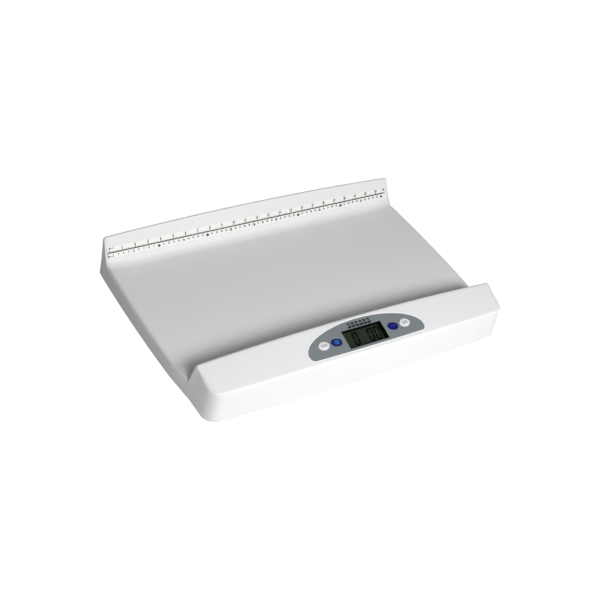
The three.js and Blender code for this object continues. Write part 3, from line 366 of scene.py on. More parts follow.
# Corners of the sections at all x: place, radius, whether hollow, and how far the end rounding draws them in
def sectionCorners(x, hem, inside):
    bow = arch(x)
    tilt = math.tan(shell["railTilt"])
    frontY = shell["railLean"] - shell["frontBow"] * bow
    frontZ = shell["railHeight"] + (shell["railArch"] - shell["frontBow"] * tilt) * bow
    backY = shell["railLean"] + shell["railDepth"] + shell["railBackBow"] * bow
    backZ = frontZ + (backY - frontY) * tilt
    trayFront, trayRear = trayHeight(x, 0), trayHeight(x, 1)
    crest = shell["wallHeight"] + shell["wallArch"] * bow
    c, r = shell["frontCorner"], shell["rearCorner"]
    rail, tray, wall = shell["railEnd"], shell["trayEnd"], shell["wallEnd"]
    flat = np.full_like(x, hem)
    rows = [
        (-shell["frontBow"] * bow, flat, 0, False, (c, c, 0)),
        (frontY, frontZ, shell["railFrontRadius"], False, (c, c, rail / 2)),
        (backY, backZ, shell["railBackRadius"], False, (rail, -rail / 2, rail / 2)),
        (backY, trayFront, shell["railFootRadius"], True, (tray, 0, tray / 2)),
        (wallFace(trayRear), trayRear, shell["wallFootRadius"], True, (tray, 0, tray)),
    ]
    if inside:
        meet = trayRear + (rearFace(x) - wallFace(trayRear)) / math.tan(shell["wallLean"])
        rows.append((rearFace(x), meet, 0, False, (r, 0, wall)))
    else:
        rows.append((wallFace(crest), crest, shell["crestRadius"], False, (wall, 0, wall)))
        rows.append((rearFace(x), crest - shell["crestFall"], shell["crestRadius"], False, (wall, 0, wall)))
    rows.append((rearFace(x), flat, 0, False, (r, -r, 0)))
    return [dict(y=y, z=z, radius=radius, hollow=hollow, end=np.array(end, float))
            for y, z, radius, hollow, end in rows]


# The same corners moved into the material by one wall
def insetCorners(rows, wall):
    if wall == 0:
        return rows
    lines = []
    for a, b in zip(rows, rows[1:]):
        length = np.hypot(b["y"] - a["y"], b["z"] - a["z"])
        dy, dz = (b["y"] - a["y"]) / length, (b["z"] - a["z"]) / length
        lines.append((a["y"] + dz * wall, a["z"] - dy * wall, dy, dz))
    moved = []
    for k, row in enumerate(rows):
        radius = row["radius"] + wall if row["hollow"] else max(shell["least"], row["radius"] - wall)
        end = np.sign(row["end"]) * np.maximum(0, np.abs(row["end"]) - wall)
        if k in (0, len(rows) - 1):
            y, z, dy, dz = lines[0] if k == 0 else lines[-1]
            moved.append(dict(row, radius=0, end=end, y=y + dy * (row["z"] - z) / dz))
            continue
        (y0, z0, dy0, dz0), (y1, z1, dy1, dz1) = lines[k - 1], lines[k]
        t = ((y1 - y0) * dz1 - (z1 - z0) * dy1) / (dy0 * dz1 - dz0 * dy1)
        moved.append(dict(row, radius=radius, end=end, y=y0 + dy0 * t, z=z0 + dz0 * t))
    return moved


# Angle on the way into a corner, the turn there, and how far its arc reaches along the straights
def cornerTurn(before, row, after):
    inAngle = np.arctan2(row["z"] - before["z"], row["y"] - before["y"])
    outAngle = np.arctan2(after["z"] - row["z"], after["y"] - row["y"])
    turn = np.arctan2(np.sin(outAngle - inAngle), np.cos(outAngle - inAngle))
    return inAngle, turn, row["radius"] * np.tan(np.abs(turn) / 2)


# Rounds each corner by an arc and puts rows on the straights between
def roundedRows(rows, arcSteps, straightRows):
    made = []
    for k, row in enumerate(rows):
        if k in (0, len(rows) - 1) or row["radius"] == 0:
            made.append((row["y"], row["z"], row["end"]))
        else:
            inAngle, turn, tangent = cornerTurn(rows[k - 1], row, rows[k + 1])
            side = np.sign(turn)
            centreY = row["y"] - tangent * np.cos(inAngle) - side * row["radius"] * np.sin(inAngle)
            centreZ = row["z"] - tangent * np.sin(inAngle) + side * row["radius"] * np.cos(inAngle)
            for i in range(arcSteps + 1):
                angle = inAngle + turn * i / arcSteps
                made.append((
                    centreY + side * row["radius"] * np.sin(angle),
                    centreZ - side * row["radius"] * np.cos(angle), row["end"],
                ))
        count = straightRows[k]
        if count and k + 1 < len(rows):
            after = rows[k + 1]
            lastY, lastZ, lastEnd = made[-1]
            aimY, aimZ = straightAim(rows, k)
            for i in range(1, count + 1):
                share = i / (count + 1)
                made.append((
                    lastY + (aimY - lastY) * share, lastZ + (aimZ - lastZ) * share,
                    lastEnd + (after["end"] - lastEnd) * share,
                ))
    return [np.array(values) for values in zip(*made)]


# Where the straight after corner k ends: at the start of the next corner's arc
def straightAim(rows, k):
    after = rows[k + 1]
    if after["radius"] == 0 or k + 2 >= len(rows):
        return after["y"], after["z"]
    inAngle, _, tangent = cornerTurn(rows[k], after, rows[k + 2])
    return after["y"] - tangent * np.cos(inAngle), after["z"] - tangent * np.sin(inAngle)


# A closed solid with the form of the shell drawn in by a wall, standing on z = hem
def shellForm(name, wall, hem, steps):
    share = np.concatenate([np.linspace(0, 1, steps["span"] + 1), np.ones(steps["end"])])
    turn = np.concatenate([np.zeros(steps["span"] + 1), np.linspace(0, np.pi / 2, steps["end"] + 1)[1:]])
    side = np.ones_like(share)
    share = np.concatenate([share[:0:-1], share])
    turn = np.concatenate([turn[:0:-1], turn])
    side = np.concatenate([-side[:0:-1], side])
    nominal = mainSpan * share + (shell["halfWidth"] - mainSpan) * np.sin(turn)
    rows = insetCorners(sectionCorners(nominal, hem + shell["hem"], wall > 0), wall)
    y, z, end = roundedRows(rows, steps["arc"], steps["straight"])

    def place(rowY, rowZ, fallShare):
        limit = sideReach(rowY, rowZ) - wall
        x = mainSpan * share + (limit - mainSpan) * np.sin(turn)
        reach = np.maximum(shell["least"], end[:, 0:1])
        past = np.clip((x - (limit - reach)) / reach, 0, 1)
        fall = 1 - np.sqrt(1 - past ** 2)
        return np.stack([side * x, rowY + end[:, 1:2] * fall, rowZ - end[:, 2:3] * fall * fallShare], -1)

    upper = place(y, z, 1)
    step = np.hypot(np.diff(y, axis=0, prepend=y[:1]), shell["hem"])
    step[0] = 0
    run = np.cumsum(step, 0) / np.sum(step, 0)
    lowY = y[0] + (y[-1] - y[0]) * run
    lower = place(lowY, np.full_like(lowY, hem), 0)
    loop = np.concatenate([upper, lower[::-1]], 0).transpose(1, 0, 2)
    stations, count = loop.shape[:2]
    vertices = [loop.reshape(-1, 3)]
    faces = gridFaces(stations, count, wrapColumns=True)
    first = stations * count
    for k in (0, stations - 1):
        mixes = np.linspace(0, 1, steps["cap"])[:, None, None]
        cap = upper[:, k] * (1 - mixes) + lower[:, k] * mixes
        vertices.append(cap.reshape(-1, 3))
        faces += gridFaces(steps["cap"], cap.shape[1], first=first)
        first += cap.shape[0] * cap.shape[1]
    return meshObject(name, shellToFrame(np.vstack(vertices)), faces, merge=1e-6, outward=True)


# The tilted plane of the rail's top: x across, y up the slope, z out of the surface
panel = {
    "setback": 30.3, "overlayHalf": 121.8, "crownHeight": 44, "crownBase": -10.4, "flatEdge": -20.7,
    "corner": 9, "border": 2.8, "overlayLow": -0.45, "overlayHigh": 0.05, "recess": 0.6,
    "windowLength": 83.3, "windowHeight": 35.8, "lensMargin": 1.6, "carrierShoulder": -7.65, "lcdTop": -9.05,
    "keyLength": 21.5, "keyHeight": 15.5, "keyLift": 1.3, "keyNear": 60, "keyFar": 86, "keyRise": 0.9,
    "keyDepth": 5.4, "keyGap": 0.5, "gap": 0.3, "edgeBow": 1.5, "rings": 16, "ringShares": (0.94, 0.06),
    "ringFall": 6, "cutPast": 5,
}
panelTurn = np.array([
    [1, 0, 0],
    [0, math.cos(shell["railTilt"]), -math.sin(shell["railTilt"])],
    [0, math.sin(shell["railTilt"]), math.cos(shell["railTilt"])],
])
panelPlace = np.array([
    0,
    shell["railLean"] - shell["frontBow"] + panel["setback"] * math.cos(shell["railTilt"]),
    shell["railHeight"] + shell["railArch"] - shell["frontBow"] * math.tan(shell["railTilt"])
    + panel["setback"] * math.sin(shell["railTilt"]),
])
keyPlaces = dict(zip(keys, (-panel["keyFar"], -panel["keyNear"], panel["keyNear"], panel["keyFar"])))


def panelToFrame(points):
    return shellToFrame(np.asarray(points, float) @ panelTurn.T + panelPlace)


# How far the arched top lies below its middle
def surfaceDrop(x):
    return shell["railArch"] * (np.asarray(x, float) / shell["halfWidth"]) ** 2 * math.cos(shell["railTilt"])


# Outline of the label: half an ellipse over a front edge that bows by 1 - x^2, with rounded corners
def labelOutline(grow, count=360):
    a, b = panel["overlayHalf"] + grow, panel["crownHeight"] + grow
    r, h = panel["corner"] + grow, panel["crownBase"] - panel["flatEdge"] + grow
    crown = np.linspace(0, np.pi, count // 2)
    bend = np.linspace(np.pi, 1.5 * np.pi, count // 8)
    left = np.column_stack([-(a - r) + r * np.cos(bend), panel["crownBase"] + h * np.sin(bend)])
    flatX = np.linspace(-(a - r), a - r, count // 4)
    bow = panel["edgeBow"] * (1 - (flatX / (a - r)) ** 2)
    flat = np.column_stack([flatX, panel["crownBase"] - h - bow])
    bend = np.linspace(1.5 * np.pi, 2 * np.pi, count // 8)
    right = np.column_stack([a - r + r * np.cos(bend), panel["crownBase"] + h * np.sin(bend)])
    top = np.column_stack([a * np.cos(crown), panel["crownBase"] + b * np.sin(crown)])
    return np.vstack([top[:-1], left[:-1], flat[:-1], right[:-1]])


# A thin solid with the label's outline that follows the arched top. A second material goes to the field.
def labelSlab(name, grow, low, high, materials=()):
    outer, inner = labelOutline(grow), labelOutline(0)
    middle = (panel["crownBase"] + panel["flatEdge"] + panel["crownHeight"]) / 2 - panel["ringFall"]
    shares = np.linspace(*panel["ringShares"], panel["rings"])
    rings = np.array([outer, inner] + [inner * share + [0, middle * (1 - share)] for share in shares])
    levels, count = rings.shape[:2]
    x = rings[..., 0]
    top = np.concatenate([rings, (high - surfaceDrop(x))[..., None]], -1).reshape(-1, 3)
    base = np.concatenate([rings, (low - surfaceDrop(x))[..., None]], -1).reshape(-1, 3)
    faces = gridFaces(levels, count, wrapColumns=True)
    faces += [face[::-1] for face in gridFaces(levels, count, wrapColumns=True, first=levels * count)]
    edge = [[k, (k + 1) % count, levels * count + (k + 1) % count, levels * count + k] for k in range(count)]
    topCap = list(range((levels - 1) * count, levels * count))
    lowCap = [index + levels * count for index in topCap][::-1]
    faces += edge + [topCap, lowCap]
    slab = meshObject(name, panelToFrame(np.vstack([top, base])), faces, outward=True)
    if materials:
        index = np.zeros(len(slab.data.polygons), np.int32)
        index[count:(levels - 1) * count] = 1
        index[-2] = 1
        setMaterials(slab, *materials)
        slab.data.polygons.foreach_set("material_index", index)
    return slab


def keyCutter(x, low):
    gap = 2 * panel["keyGap"]
    outline = ellipsePoints(panel["keyLength"] + gap, panel["keyHeight"] + gap, x, panel["keyLift"])
    return prismObject("keyCutter", outline, low - surfaceDrop(x), panel["cutPast"], panelToFrame)


def windowCutter(margin, low):
    outline = rectanglePoints(panel["windowLength"] + margin, panel["windowHeight"] + margin)
    return prismObject("windowCutter", outline, low, panel["cutPast"], panelToFrame)


# Adaptor socket's hole in the rear face
socket = {"acrossShare": 0.6, "height": 13.5, "radius": 4.7, "ahead": 8, "behind": 4, "count": 48}


def socketCutter():
    across, count = socket["acrossShare"] * shell["halfWidth"], socket["count"]
    outline = ellipsePoints(2 * socket["radius"], 2 * socket["radius"], across, socket["height"], count)
    back = rearFace(across)

    def toRear(points):
        return shellToFrame(points[:, [0, 2, 1]])

    return prismObject("socketCutter", outline, back - socket["ahead"], back + socket["behind"], toRear)


def makeShell():
    body = shellForm("shell_body", 0, 0, shellSteps["fine"])
    cutWith(body, [
        shellForm("hollow", shell["wall"], -panel["cutPast"], shellSteps["coarse"]),
        labelSlab("labelRecess", panel["border"] + panel["gap"], -panel["recess"], panel["cutPast"]),
        windowCutter(2 * (panel["lensMargin"] + panel["gap"]), panel["carrierShoulder"]),
        *[keyCutter(x, -panel["keyDepth"]) for x in keyPlaces.values()],
        socketCutter(),
    ], shell["smoothAngle"])
    return body


shellBody = makeShell()
setMaterials(shellBody, lookMaterial("shellPlastic"))
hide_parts("tray_shell")
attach(shellBody, "scale_body")
print("shell made", len(shellBody.data.polygons))


# The printed label around the display
def makeLabel():
    materials = [lookMaterial("labelBorder"), lookMaterial("labelField")]
    slab = labelSlab("rail_label", panel["border"], panel["overlayLow"], panel["overlayHigh"], materials)
    keyCutters = [keyCutter(x, -panel["cutPast"]) for x in keyPlaces.values()]
    cutWith(slab, [windowCutter(0, -panel["cutPast"])] + keyCutters)
    return slab


label = makeLabel()
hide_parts("display_overlay")
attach(label, "scale_body")
print("label made")

# Key caps: an oval with a rounded rim and a low crown, in millimetres
keyCap = {
    "rim": 0.9, "crown": 0.35, "rimSteps": 7, "crownShares": (0.9, 0.02), "rings": 14, "count": 128,
    "fadeShares": (0.45, 0.95), "smoothAngle": 50,
}


def makeKeyCap(name, x):
    a, b = panel["keyLength"] / 2, panel["keyHeight"] / 2
    rim, crown = keyCap["rim"], keyCap["crown"]
    turn = np.linspace(0, 2 * np.pi, keyCap["count"], endpoint=False)
    bend = np.linspace(0, np.pi / 2, keyCap["rimSteps"])
    inset = rim * (1 - np.cos(bend))
    share = np.linspace(*keyCap["crownShares"], keyCap["rings"])
    scaleX = np.concatenate([[a], a - inset, (a - rim) * share])[:, None]
    scaleY = np.concatenate([[b], b - inset, (b - rim) * share])[:, None]
    rimHeight = panel["keyRise"] - crown - rim * (1 - np.sin(bend))
    height = np.concatenate([[-panel["keyDepth"]], rimHeight, panel["keyRise"] - crown * share ** 2])
    grid = np.stack([
        x + scaleX * np.cos(turn), panel["keyLift"] + scaleY * np.sin(turn),
        np.repeat(height[:, None], len(turn), 1) - surfaceDrop(x),
    ], -1)
    rows, count = grid.shape[:2]
    faces = gridFaces(rows, count, wrapColumns=True)
    faces += [list(range(count))[::-1], list(range((rows - 1) * count, rows * count))]
    cap = meshObject(name, panelToFrame(grid.reshape(-1, 3)), faces, keyCap["smoothAngle"])
    uvLayer = cap.data.uv_layers.new(name="oval")
    flat = np.stack([scaleX * np.cos(turn) / a, scaleY * np.sin(turn) / b], -1).reshape(-1, 2)
    corner = np.zeros(len(cap.data.loops), np.int32)
    cap.data.loops.foreach_get("vertex_index", corner)
    uvLayer.data.foreach_set("uv", flat[corner].ravel())
    return cap


keySurface = {
    "roughness": 0.3, "drift": 0.01, "grainScale": 1500, "grainDepth": 0.000004, "coat": 0.2,
    "specular": 0.35,
}


# Enamel-like key plastic, with painted shade: darker towards the rim of the oval and lighter in the middle
def keyMaterial(name, middle, rim):
    material = mouldedMaterial(name, middle, **keySurface)
    nodes, links = material.node_tree.nodes, material.node_tree.links
    shader = next(node for node in nodes if node.type == "BSDF_PRINCIPLED")
    uv = nodes.new("ShaderNodeUVMap")
    uv.uv_map = "oval"
    length = nodes.new("ShaderNodeVectorMath")
    length.operation = "LENGTH"
    links.new(uv.outputs["UV"], length.inputs[0])
    share = rangeNode(nodes, links, length.outputs["Value"], 0, 1, *keyCap["fadeShares"])
    # Painted shade: the colour darkens from the middle of the oval towards its rim
    old = shader.inputs["Base Color"].links[0].from_socket
    links.new(mixColour(nodes, links, share, old, rim), shader.inputs["Base Color"])
    return material


# Colours of the caps in the middle and at the rim; the darker rim colour is painted shade of the rounded rim
keyColoursWithRimShade = {
    "white_left": ((0.86, 0.88, 0.89), (0.76, 0.78, 0.8)),
    "blue_left": ((0.006, 0.034, 0.21), (0.002, 0.013, 0.09)),
    "blue_right": ((0.0, 0.002, 0.15), (0.0, 0.001, 0.11)),
    "white_right": ((0.9, 0.905, 0.93), (0.8, 0.81, 0.84)),
}
for keyName, keyX in keyPlaces.items():
    cap = makeKeyCap("cap_" + keyName, keyX)
    setMaterials(cap, keyMaterial("key_" + keyName, *keyColoursWithRimShade[keyName]))
    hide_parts("button_" + keyName)
    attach(cap, "key_" + keyName)
print("keys made")

# Lettering: numbers and plain marks as flat meshes, in millimetres on a plane
letterResolution = 3


def letterMesh(text, size, bold):
    curve = bpy.data.curves.new("letter", "FONT")
    curve.body = text
    curve.size = size
    curve.align_x = "CENTER"
    curve.align_y = "CENTER"
    curve.offset = bold
    curve.resolution_u = letterResolution
    holder = bpy.data.objects.new("letter", curve)
    bpy.context.scene.collection.objects.link(holder)
    mesh = bpy.data.meshes.new_from_object(holder.evaluated_get(bpy.context.evaluated_depsgraph_get()))
    vertices = np.zeros(len(mesh.vertices) * 3)
    mesh.vertices.foreach_get("co", vertices)
    faces = [tuple(polygon.vertices) for polygon in mesh.polygons]
    bpy.data.objects.remove(holder)
    bpy.data.curves.remove(curve)
    bpy.data.meshes.remove(mesh)
    return vertices.reshape(-1, 3)[:, :2], faces


# Gathers flat marks of one print, then makes one piece of them
class Print:
    def __init__(self):
        self.points = []
        self.faces = []
        self.count = 0

    def add(self, points, faces):
        self.points.append(np.asarray(points, float))
        self.faces += [tuple(index + self.count for index in face) for face in faces]
        self.count += len(points)

    def bar(self, x, y, length, height, slant=0.0):
        dx, dy, shift = length / 2, height / 2, slant * height / 2
        self.add([
            [x - dx - shift, y - dy], [x + dx - shift, y - dy], [x + dx + shift, y + dy],
            [x - dx + shift, y + dy],
        ], [(0, 1, 2, 3)])

    def letters(self, text, x, y, size, bold):
        points, faces = letterMesh(text, size, bold)
        self.add(points + [x, y], faces)

    def make(self, name, toFrame):
        return meshObject(name, toFrame(np.vstack(self.points)), self.faces)


ink = lookMaterial("blackInk")

# The display: slanted noughts of six bars, in millimetres on the panel's plane. The near and far shares of
# the stroke shape the ends of the upright bars' outer and inner edges.
display = {
    "digits": [-15, 16.6, 31], "middleY": 1.4, "height": 25.5, "width": 11.6, "stroke": 3.5, "slant": 0.1,
    "gapShare": 0.1, "outerNearShare": 0.2, "outerFarShare": 0.35, "innerNearShare": 0.5,
    "innerFarShare": 0.65, "lift": 0.02,
}


def makeDigits():
    marks = Print()
    half, wide, stroke = display["height"] / 2, display["width"] / 2, display["stroke"]
    gap = stroke * display["gapShare"]
    barHeight = half - gap - stroke / 2

    def slanted(points, x):
        points = np.asarray(points, float)
        return np.column_stack([
            x + points[:, 0] + points[:, 1] * display["slant"], display["middleY"] + points[:, 1],
        ])

    for x in display["digits"]:
        for sideX in (-1, 1):
            for sideY in (-1, 1):
                outer, inner = sideX * wide, sideX * (wide - stroke)
                near, far, step = sideY * gap, sideY * (gap + barHeight), sideY * stroke
                marks.add(slanted([
                    [outer, near + step * display["outerNearShare"]],
                    [outer, far + step * display["outerFarShare"]],
                    [inner, far - step * display["innerFarShare"]],
                    [inner, near + step * display["innerNearShare"]], [(outer + inner) / 2, near],
                ], x), [(0, 1, 2, 3, 4)])
        for sideY in (-1, 1):
            outer, inner = sideY * half, sideY * (half - stroke)
            marks.add(slanted([
                [-wide + gap, outer], [wide - gap, outer], [wide - stroke - gap, inner],
                [-wide + stroke + gap, inner],
            ], x), [(0, 1, 2, 3)])

    def onDisplay(points):
        height = np.full(len(points), panel["lcdTop"] + display["lift"])
        return panelToFrame(np.column_stack([points, height]))

    return marks.make("display_digits", onDisplay)


digits = makeDigits()
setMaterials(digits, lookMaterial("digitInk"))
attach(digits, "scale_body")
print("display made")

# A plain graduated bar with its numbers above the window, in millimetres on the panel's plane
scaleBar = {
    "numbers": [10, 20, 30, 40, 50, 60], "pitch": 8.28, "size": 5.6, "bold": 0.5, "numberX": -0.6,
    "numberY": 26.7, "blockX": -0.4, "blockY": 21.1, "blockHeight": 4.6, "blockShare": 0.88, "slant": 0.6,
    "lift": 0.02,
}


def makeScaleBar():
    marks = Print()
    first = -scaleBar["pitch"] * (len(scaleBar["numbers"]) - 1) / 2
    for k, number in enumerate(scaleBar["numbers"]):
        x = first + k * scaleBar["pitch"]
        numberX, blockX = x + scaleBar["numberX"], x + scaleBar["blockX"]
        marks.letters(str(number), numberX, scaleBar["numberY"], scaleBar["size"], scaleBar["bold"])
        length = scaleBar["pitch"] * scaleBar["blockShare"]
        marks.bar(blockX, scaleBar["blockY"], length, scaleBar["blockHeight"], scaleBar["slant"])

    def onLabel(points):
        height = panel["overlayHigh"] + scaleBar["lift"] - surfaceDrop(points[:, 0])
        return panelToFrame(np.column_stack([points, height]))

    return marks.make("label_scale", onLabel)


labelScale = makeScaleBar()
setMaterials(labelScale, ink)
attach(labelScale, "scale_body")
print("label marked")

# The tape: inches above the line, centimetres below it, in millimetres on the leaning face
tape = {
    "centreHeight": 52.2, "standoff": 0.62, "lift": 0.04, "zero": -304.8, "metricZero": -307.8, "inch": 25.4,
    "centimetreStep": 10, "line": -0.9, "lineHeight": 1.9, "tick": 0.7, "wholeTick": 1.2, "inches": 24,
    "centimetres": 60, "eighthReach": [4.2, 1.1, 1.6, 1.1, 2.4, 1.1, 1.6, 1.1],
    "inchNumber": {"size": 5.4, "bold": 0.28, "away": 6.7, "endRoom": 3.2},
    "centimetre": {"size": 3.9, "bold": 0.22, "away": 5.1, "reach": 1.8},
    "five": {"size": 5.0, "bold": 0.3, "away": 5.8, "reach": 2.2},
    "ten": {"size": 5.2, "bold": 0.5, "away": 6.2, "reach": 2.6},
    "halfStep": 0.5, "halfReach": 0.9,
    "sign": {
        "dot": 1.7, "dotCount": 16, "x": 1.7, "away": [7.6, -6.6], "dash": 5.4, "dashHeight": 1,
        "dashGap": 1.2,
    },
}


def tapeToFrame(points):
    lean = shell["wallLean"]
    offset = tape["standoff"] + tape["lift"]
    x, up = points[:, 0], points[:, 1]
    y = wallFace(tape["centreHeight"]) - offset * math.cos(lean) + up * math.sin(lean)
    z = tape["centreHeight"] + offset * math.sin(lean) + up * math.cos(lean)
    return shellToFrame(np.column_stack([x, y, z]))


def centimetreStyle(k):
    return tape["ten"] if k % 10 == 0 else tape["five"] if k % 5 == 0 else tape["centimetre"]


def makeTapePrint():
    marks = Print()
    line, half = tape["line"], tape["lineHeight"] / 2
    length = tape["inches"] * tape["inch"]
    end = tape["metricZero"] + length
    marks.bar(tape["metricZero"] + length / 2, line, length - tape["tick"], tape["lineHeight"])
    for inch in range(tape["inches"]):
        for eighth, reach in enumerate(tape["eighthReach"]):
            width = tape["tick"] if eighth else tape["wholeTick"]
            x = tape["zero"] + (inch + eighth / len(tape["eighthReach"])) * tape["inch"]
            marks.bar(x, line + half + reach / 2, width, reach)
    number = tape["inchNumber"]
    for k in range(1, tape["inches"] + 1):
        x = min(tape["zero"] + k * tape["inch"], end - number["endRoom"])
        marks.letters(str(k), x, line + number["away"], number["size"], number["bold"])
    for k in np.arange(0, tape["centimetres"] + tape["halfStep"], tape["halfStep"]):
        reach = centimetreStyle(k)["reach"] if k.is_integer() else tape["halfReach"]
        x = tape["metricZero"] + k * tape["centimetreStep"]
        marks.bar(x, line - half - reach / 2, tape["tick"], reach)
    for k in range(1, tape["centimetres"] + 1):
        number = centimetreStyle(k)
        x = tape["metricZero"] + k * tape["centimetreStep"]
        marks.letters(str(k), x, line - number["away"], number["size"], number["bold"])
    sign = tape["sign"]
    for start, away in zip((tape["zero"], tape["metricZero"]), sign["away"]):
        x = start + sign["x"]
        dot = ellipsePoints(2 * sign["dot"], 2 * sign["dot"], x, line + away, sign["dotCount"])
        marks.add(dot, [tuple(range(len(dot)))])
        dashX = x + sign["dot"] + sign["dashGap"] + sign["dash"] / 2
        marks.bar(dashX, line + away, sign["dash"], sign["dashHeight"])
    return marks.make("tape_print", tapeToFrame)


tapePrint = makeTapePrint()
setMaterials(tapePrint, ink)
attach(tapePrint, "scale_body")
print("tape printed")

# Lettering on the keys, in millimetres
keyPrint = {"bold": 0.16, "lift": 0.03, "roughness": 0.4, "drift": 0.05}
keyMarks = {
    "white_left": {"text": "1000", "size": 6.8, "ink": (0.24, 0.25, 0.29)},
    "blue_left": {"text": "ON\nOFF", "size": 4.6, "ink": (0.07, 0.2, 0.58)},
    "blue_right": {"text": "0.00", "size": 7.4, "ink": (0.03, 0.04, 0.36)},
    "white_right": {"text": "200", "size": 7.6, "ink": (0.2, 0.2, 0.27)},
}


def makeKeyMark(name, text, size):
    x = keyPlaces[name]
    marks = Print()
    marks.letters(text, x, panel["keyLift"], size, keyPrint["bold"])

    def onCap(points):
        shareX = (points[:, 0] - x) * 2 / panel["keyLength"]
        shareY = (points[:, 1] - panel["keyLift"]) * 2 / panel["keyHeight"]
        fall = keyCap["crown"] * (shareX ** 2 + shareY ** 2) + surfaceDrop(x)
        return panelToFrame(np.column_stack([points, panel["keyRise"] + keyPrint["lift"] - fall]))

    return marks.make("mark_" + name, onCap)


for keyName, keyMark in keyMarks.items():
    mark = makeKeyMark(keyName, keyMark["text"], keyMark["size"])
    keyInk = mouldedMaterial("ink_" + keyName, keyMark["ink"], keyPrint["roughness"], keyPrint["drift"])
    setMaterials(mark, keyInk)
    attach(mark, "key_" + keyName)
print("keys marked")

# Feet: rubber pads with a bevelled sole under grey cups, in millimetres. From the middle of the sole
# outwards, groove and tread take turns at the radii in rings.
foot = {
    "acrossShare": 0.826, "frontShare": 0.126, "rearShare": 0.88, "padRadius": 13, "padHeight": 3,
    "groove": 0.35, "grooveSlope": 0.2, "rings": [3, 5.6, 7.4, 10, 11], "bevel": 0.7, "bevelStart": 0.2,
    "cupRadius": 14.5, "cupLow": -2.2, "cupHigh": 0.2, "cupBevel": 0.8, "cupBevelStart": 0.25,
    "cupTopBevel": 0.4, "stem": 3.5, "stemTop": 8, "stemFlare": 0.8,
}


def soleProfile():
    r, groove, bevel, start = foot["padRadius"], foot["groove"], foot["bevel"], foot["bevelStart"]
    profile = [[0, groove]]
    for k, ring in enumerate(foot["rings"]):
        levels = (groove, 0) if k % 2 == 0 else (0, groove)
        profile += [[ring, levels[0]], [ring + foot["grooveSlope"], levels[1]]]
    height = foot["padHeight"]
    return profile + [[r - bevel, 0], [r - start, start], [r, bevel], [r, height], [0, height]]


def cupProfile():
    r, low, high = foot["cupRadius"], foot["cupLow"], foot["cupHigh"]
    bevel, start, top = foot["cupBevel"], foot["cupBevelStart"], foot["cupTopBevel"]
    stem, flare = foot["stem"], foot["stemFlare"]
    return [
        [0, low], [r - bevel, low], [r - start, low + start], [r, low + bevel], [r, high - top],
        [r - top, high], [stem + flare, high], [stem, high + flare], [stem, foot["stemTop"]],
        [0, foot["stemTop"]],
    ]


def makeFeet():
    rubber, cupPlastic = lookMaterial("footRubber"), lookMaterial("footCup")
    for corner in corners:
        x = foot["acrossShare"] * shell["halfWidth"] * (-1 if "left" in corner else 1)
        y = foot["frontShare" if "front" in corner else "rearShare"] * shell["depth"]
        pad = turnedObject("sole_" + corner, soleProfile(), (x, y, -shell["clear"]))
        setMaterials(pad, rubber)
        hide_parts("foot_pad_" + corner)
        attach(pad, "scale_body")
        cup = turnedObject("cup_" + corner, cupProfile(), (x, y, 0))
        setMaterials(cup, cupPlastic)
        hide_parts("foot_cup_" + corner)
        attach(cup, "scale_body")


makeFeet()
print("feet made")


clearWindow = {
    "smudgeScale": 60, "smudgeDetail": 3, "gloss": (0.03, 0.1), "face": (0.01, 0.01, 0.01, 1),
    "specular": 0.35, "through": (0.93, 0.95, 0.93, 1), "fresnel": 1.2,
}


# Clear window: mostly transparent, with a glossy front face
def clearMaterial():
    material, nodes, links, shader = newMaterial("clearWindow")
    coordinates = nodes.new("ShaderNodeTexCoord").outputs["Object"]
    smudge = noiseNode(nodes, links, coordinates, clearWindow["smudgeScale"], clearWindow["smudgeDetail"])
    links.new(rangeNode(nodes, links, smudge, *clearWindow["gloss"]), shader.inputs["Roughness"])
    setInputs(shader, {"Base Color": clearWindow["face"], "Specular IOR Level": clearWindow["specular"]})
    clear = nodes.new("ShaderNodeBsdfTransparent")
    clear.inputs["Color"].default_value = clearWindow["through"]
    mixer = nodes.new("ShaderNodeMixShader")
    fresnel = nodes.new("ShaderNodeFresnel")
    fresnel.inputs["IOR"].default_value = clearWindow["fresnel"]
    links.new(fresnel.outputs["Fac"], mixer.inputs["Fac"])
    links.new(clear.outputs["BSDF"], mixer.inputs[1])
    links.new(shader.outputs["BSDF"], mixer.inputs[2])
    output = next(node for node in nodes if node.type == "OUTPUT_MATERIAL")
    links.new(mixer.outputs["Shader"], output.inputs["Surface"])
    return material


lcd = {
    "low": (0.031, 0.039, 0.027), "high": (0.044, 0.053, 0.037), "black": (0.002, 0.002, 0.002),
    "fieldRight": 39, "fieldRear": 16.6, "edge": 0.4, "driftScale": 30, "glossScale": 900, "detail": 2,
    "gloss": (0.28, 0.4), "specular": 0.12,
}


# Liquid crystal display: dark olive with a slow drift, and painted shade in black beyond its field at the
# right and rear, where the recess's walls shade it
def lcdMaterial():
    material, nodes, links, shader = newMaterial("lcdGreen")
    coordinates = nodes.new("ShaderNodeTexCoord").outputs["Object"]
    slow = noiseNode(nodes, links, coordinates, lcd["driftScale"], lcd["detail"])
    colour = mixColour(nodes, links, rangeNode(nodes, links, slow, 0, 1), lcd["low"], lcd["high"])
    axes = nodes.new("ShaderNodeSeparateXYZ")
    links.new(coordinates, axes.inputs["Vector"])
    corner = panelToFrame([[lcd["fieldRight"], lcd["fieldRear"], panel["lcdTop"]]])[0]
    # Painted shade: black beyond the field's right and rear limits stands in for the shade of the recess
    # walls
    for axis, limit in (("X", corner[0]), ("Y", corner[1])):
        edge = rangeNode(nodes, links, axes.outputs[axis], 0, 1, limit, limit + lcd["edge"] * mm)
        colour = mixColour(nodes, links, edge, colour, lcd["black"])
    links.new(colour, shader.inputs["Base Color"])
    fine = noiseNode(nodes, links, coordinates, lcd["glossScale"], lcd["detail"])
    links.new(rangeNode(nodes, links, fine, *lcd["gloss"]), shader.inputs["Roughness"])
    shader.inputs["Specular IOR Level"].default_value = lcd["specular"]
    return material


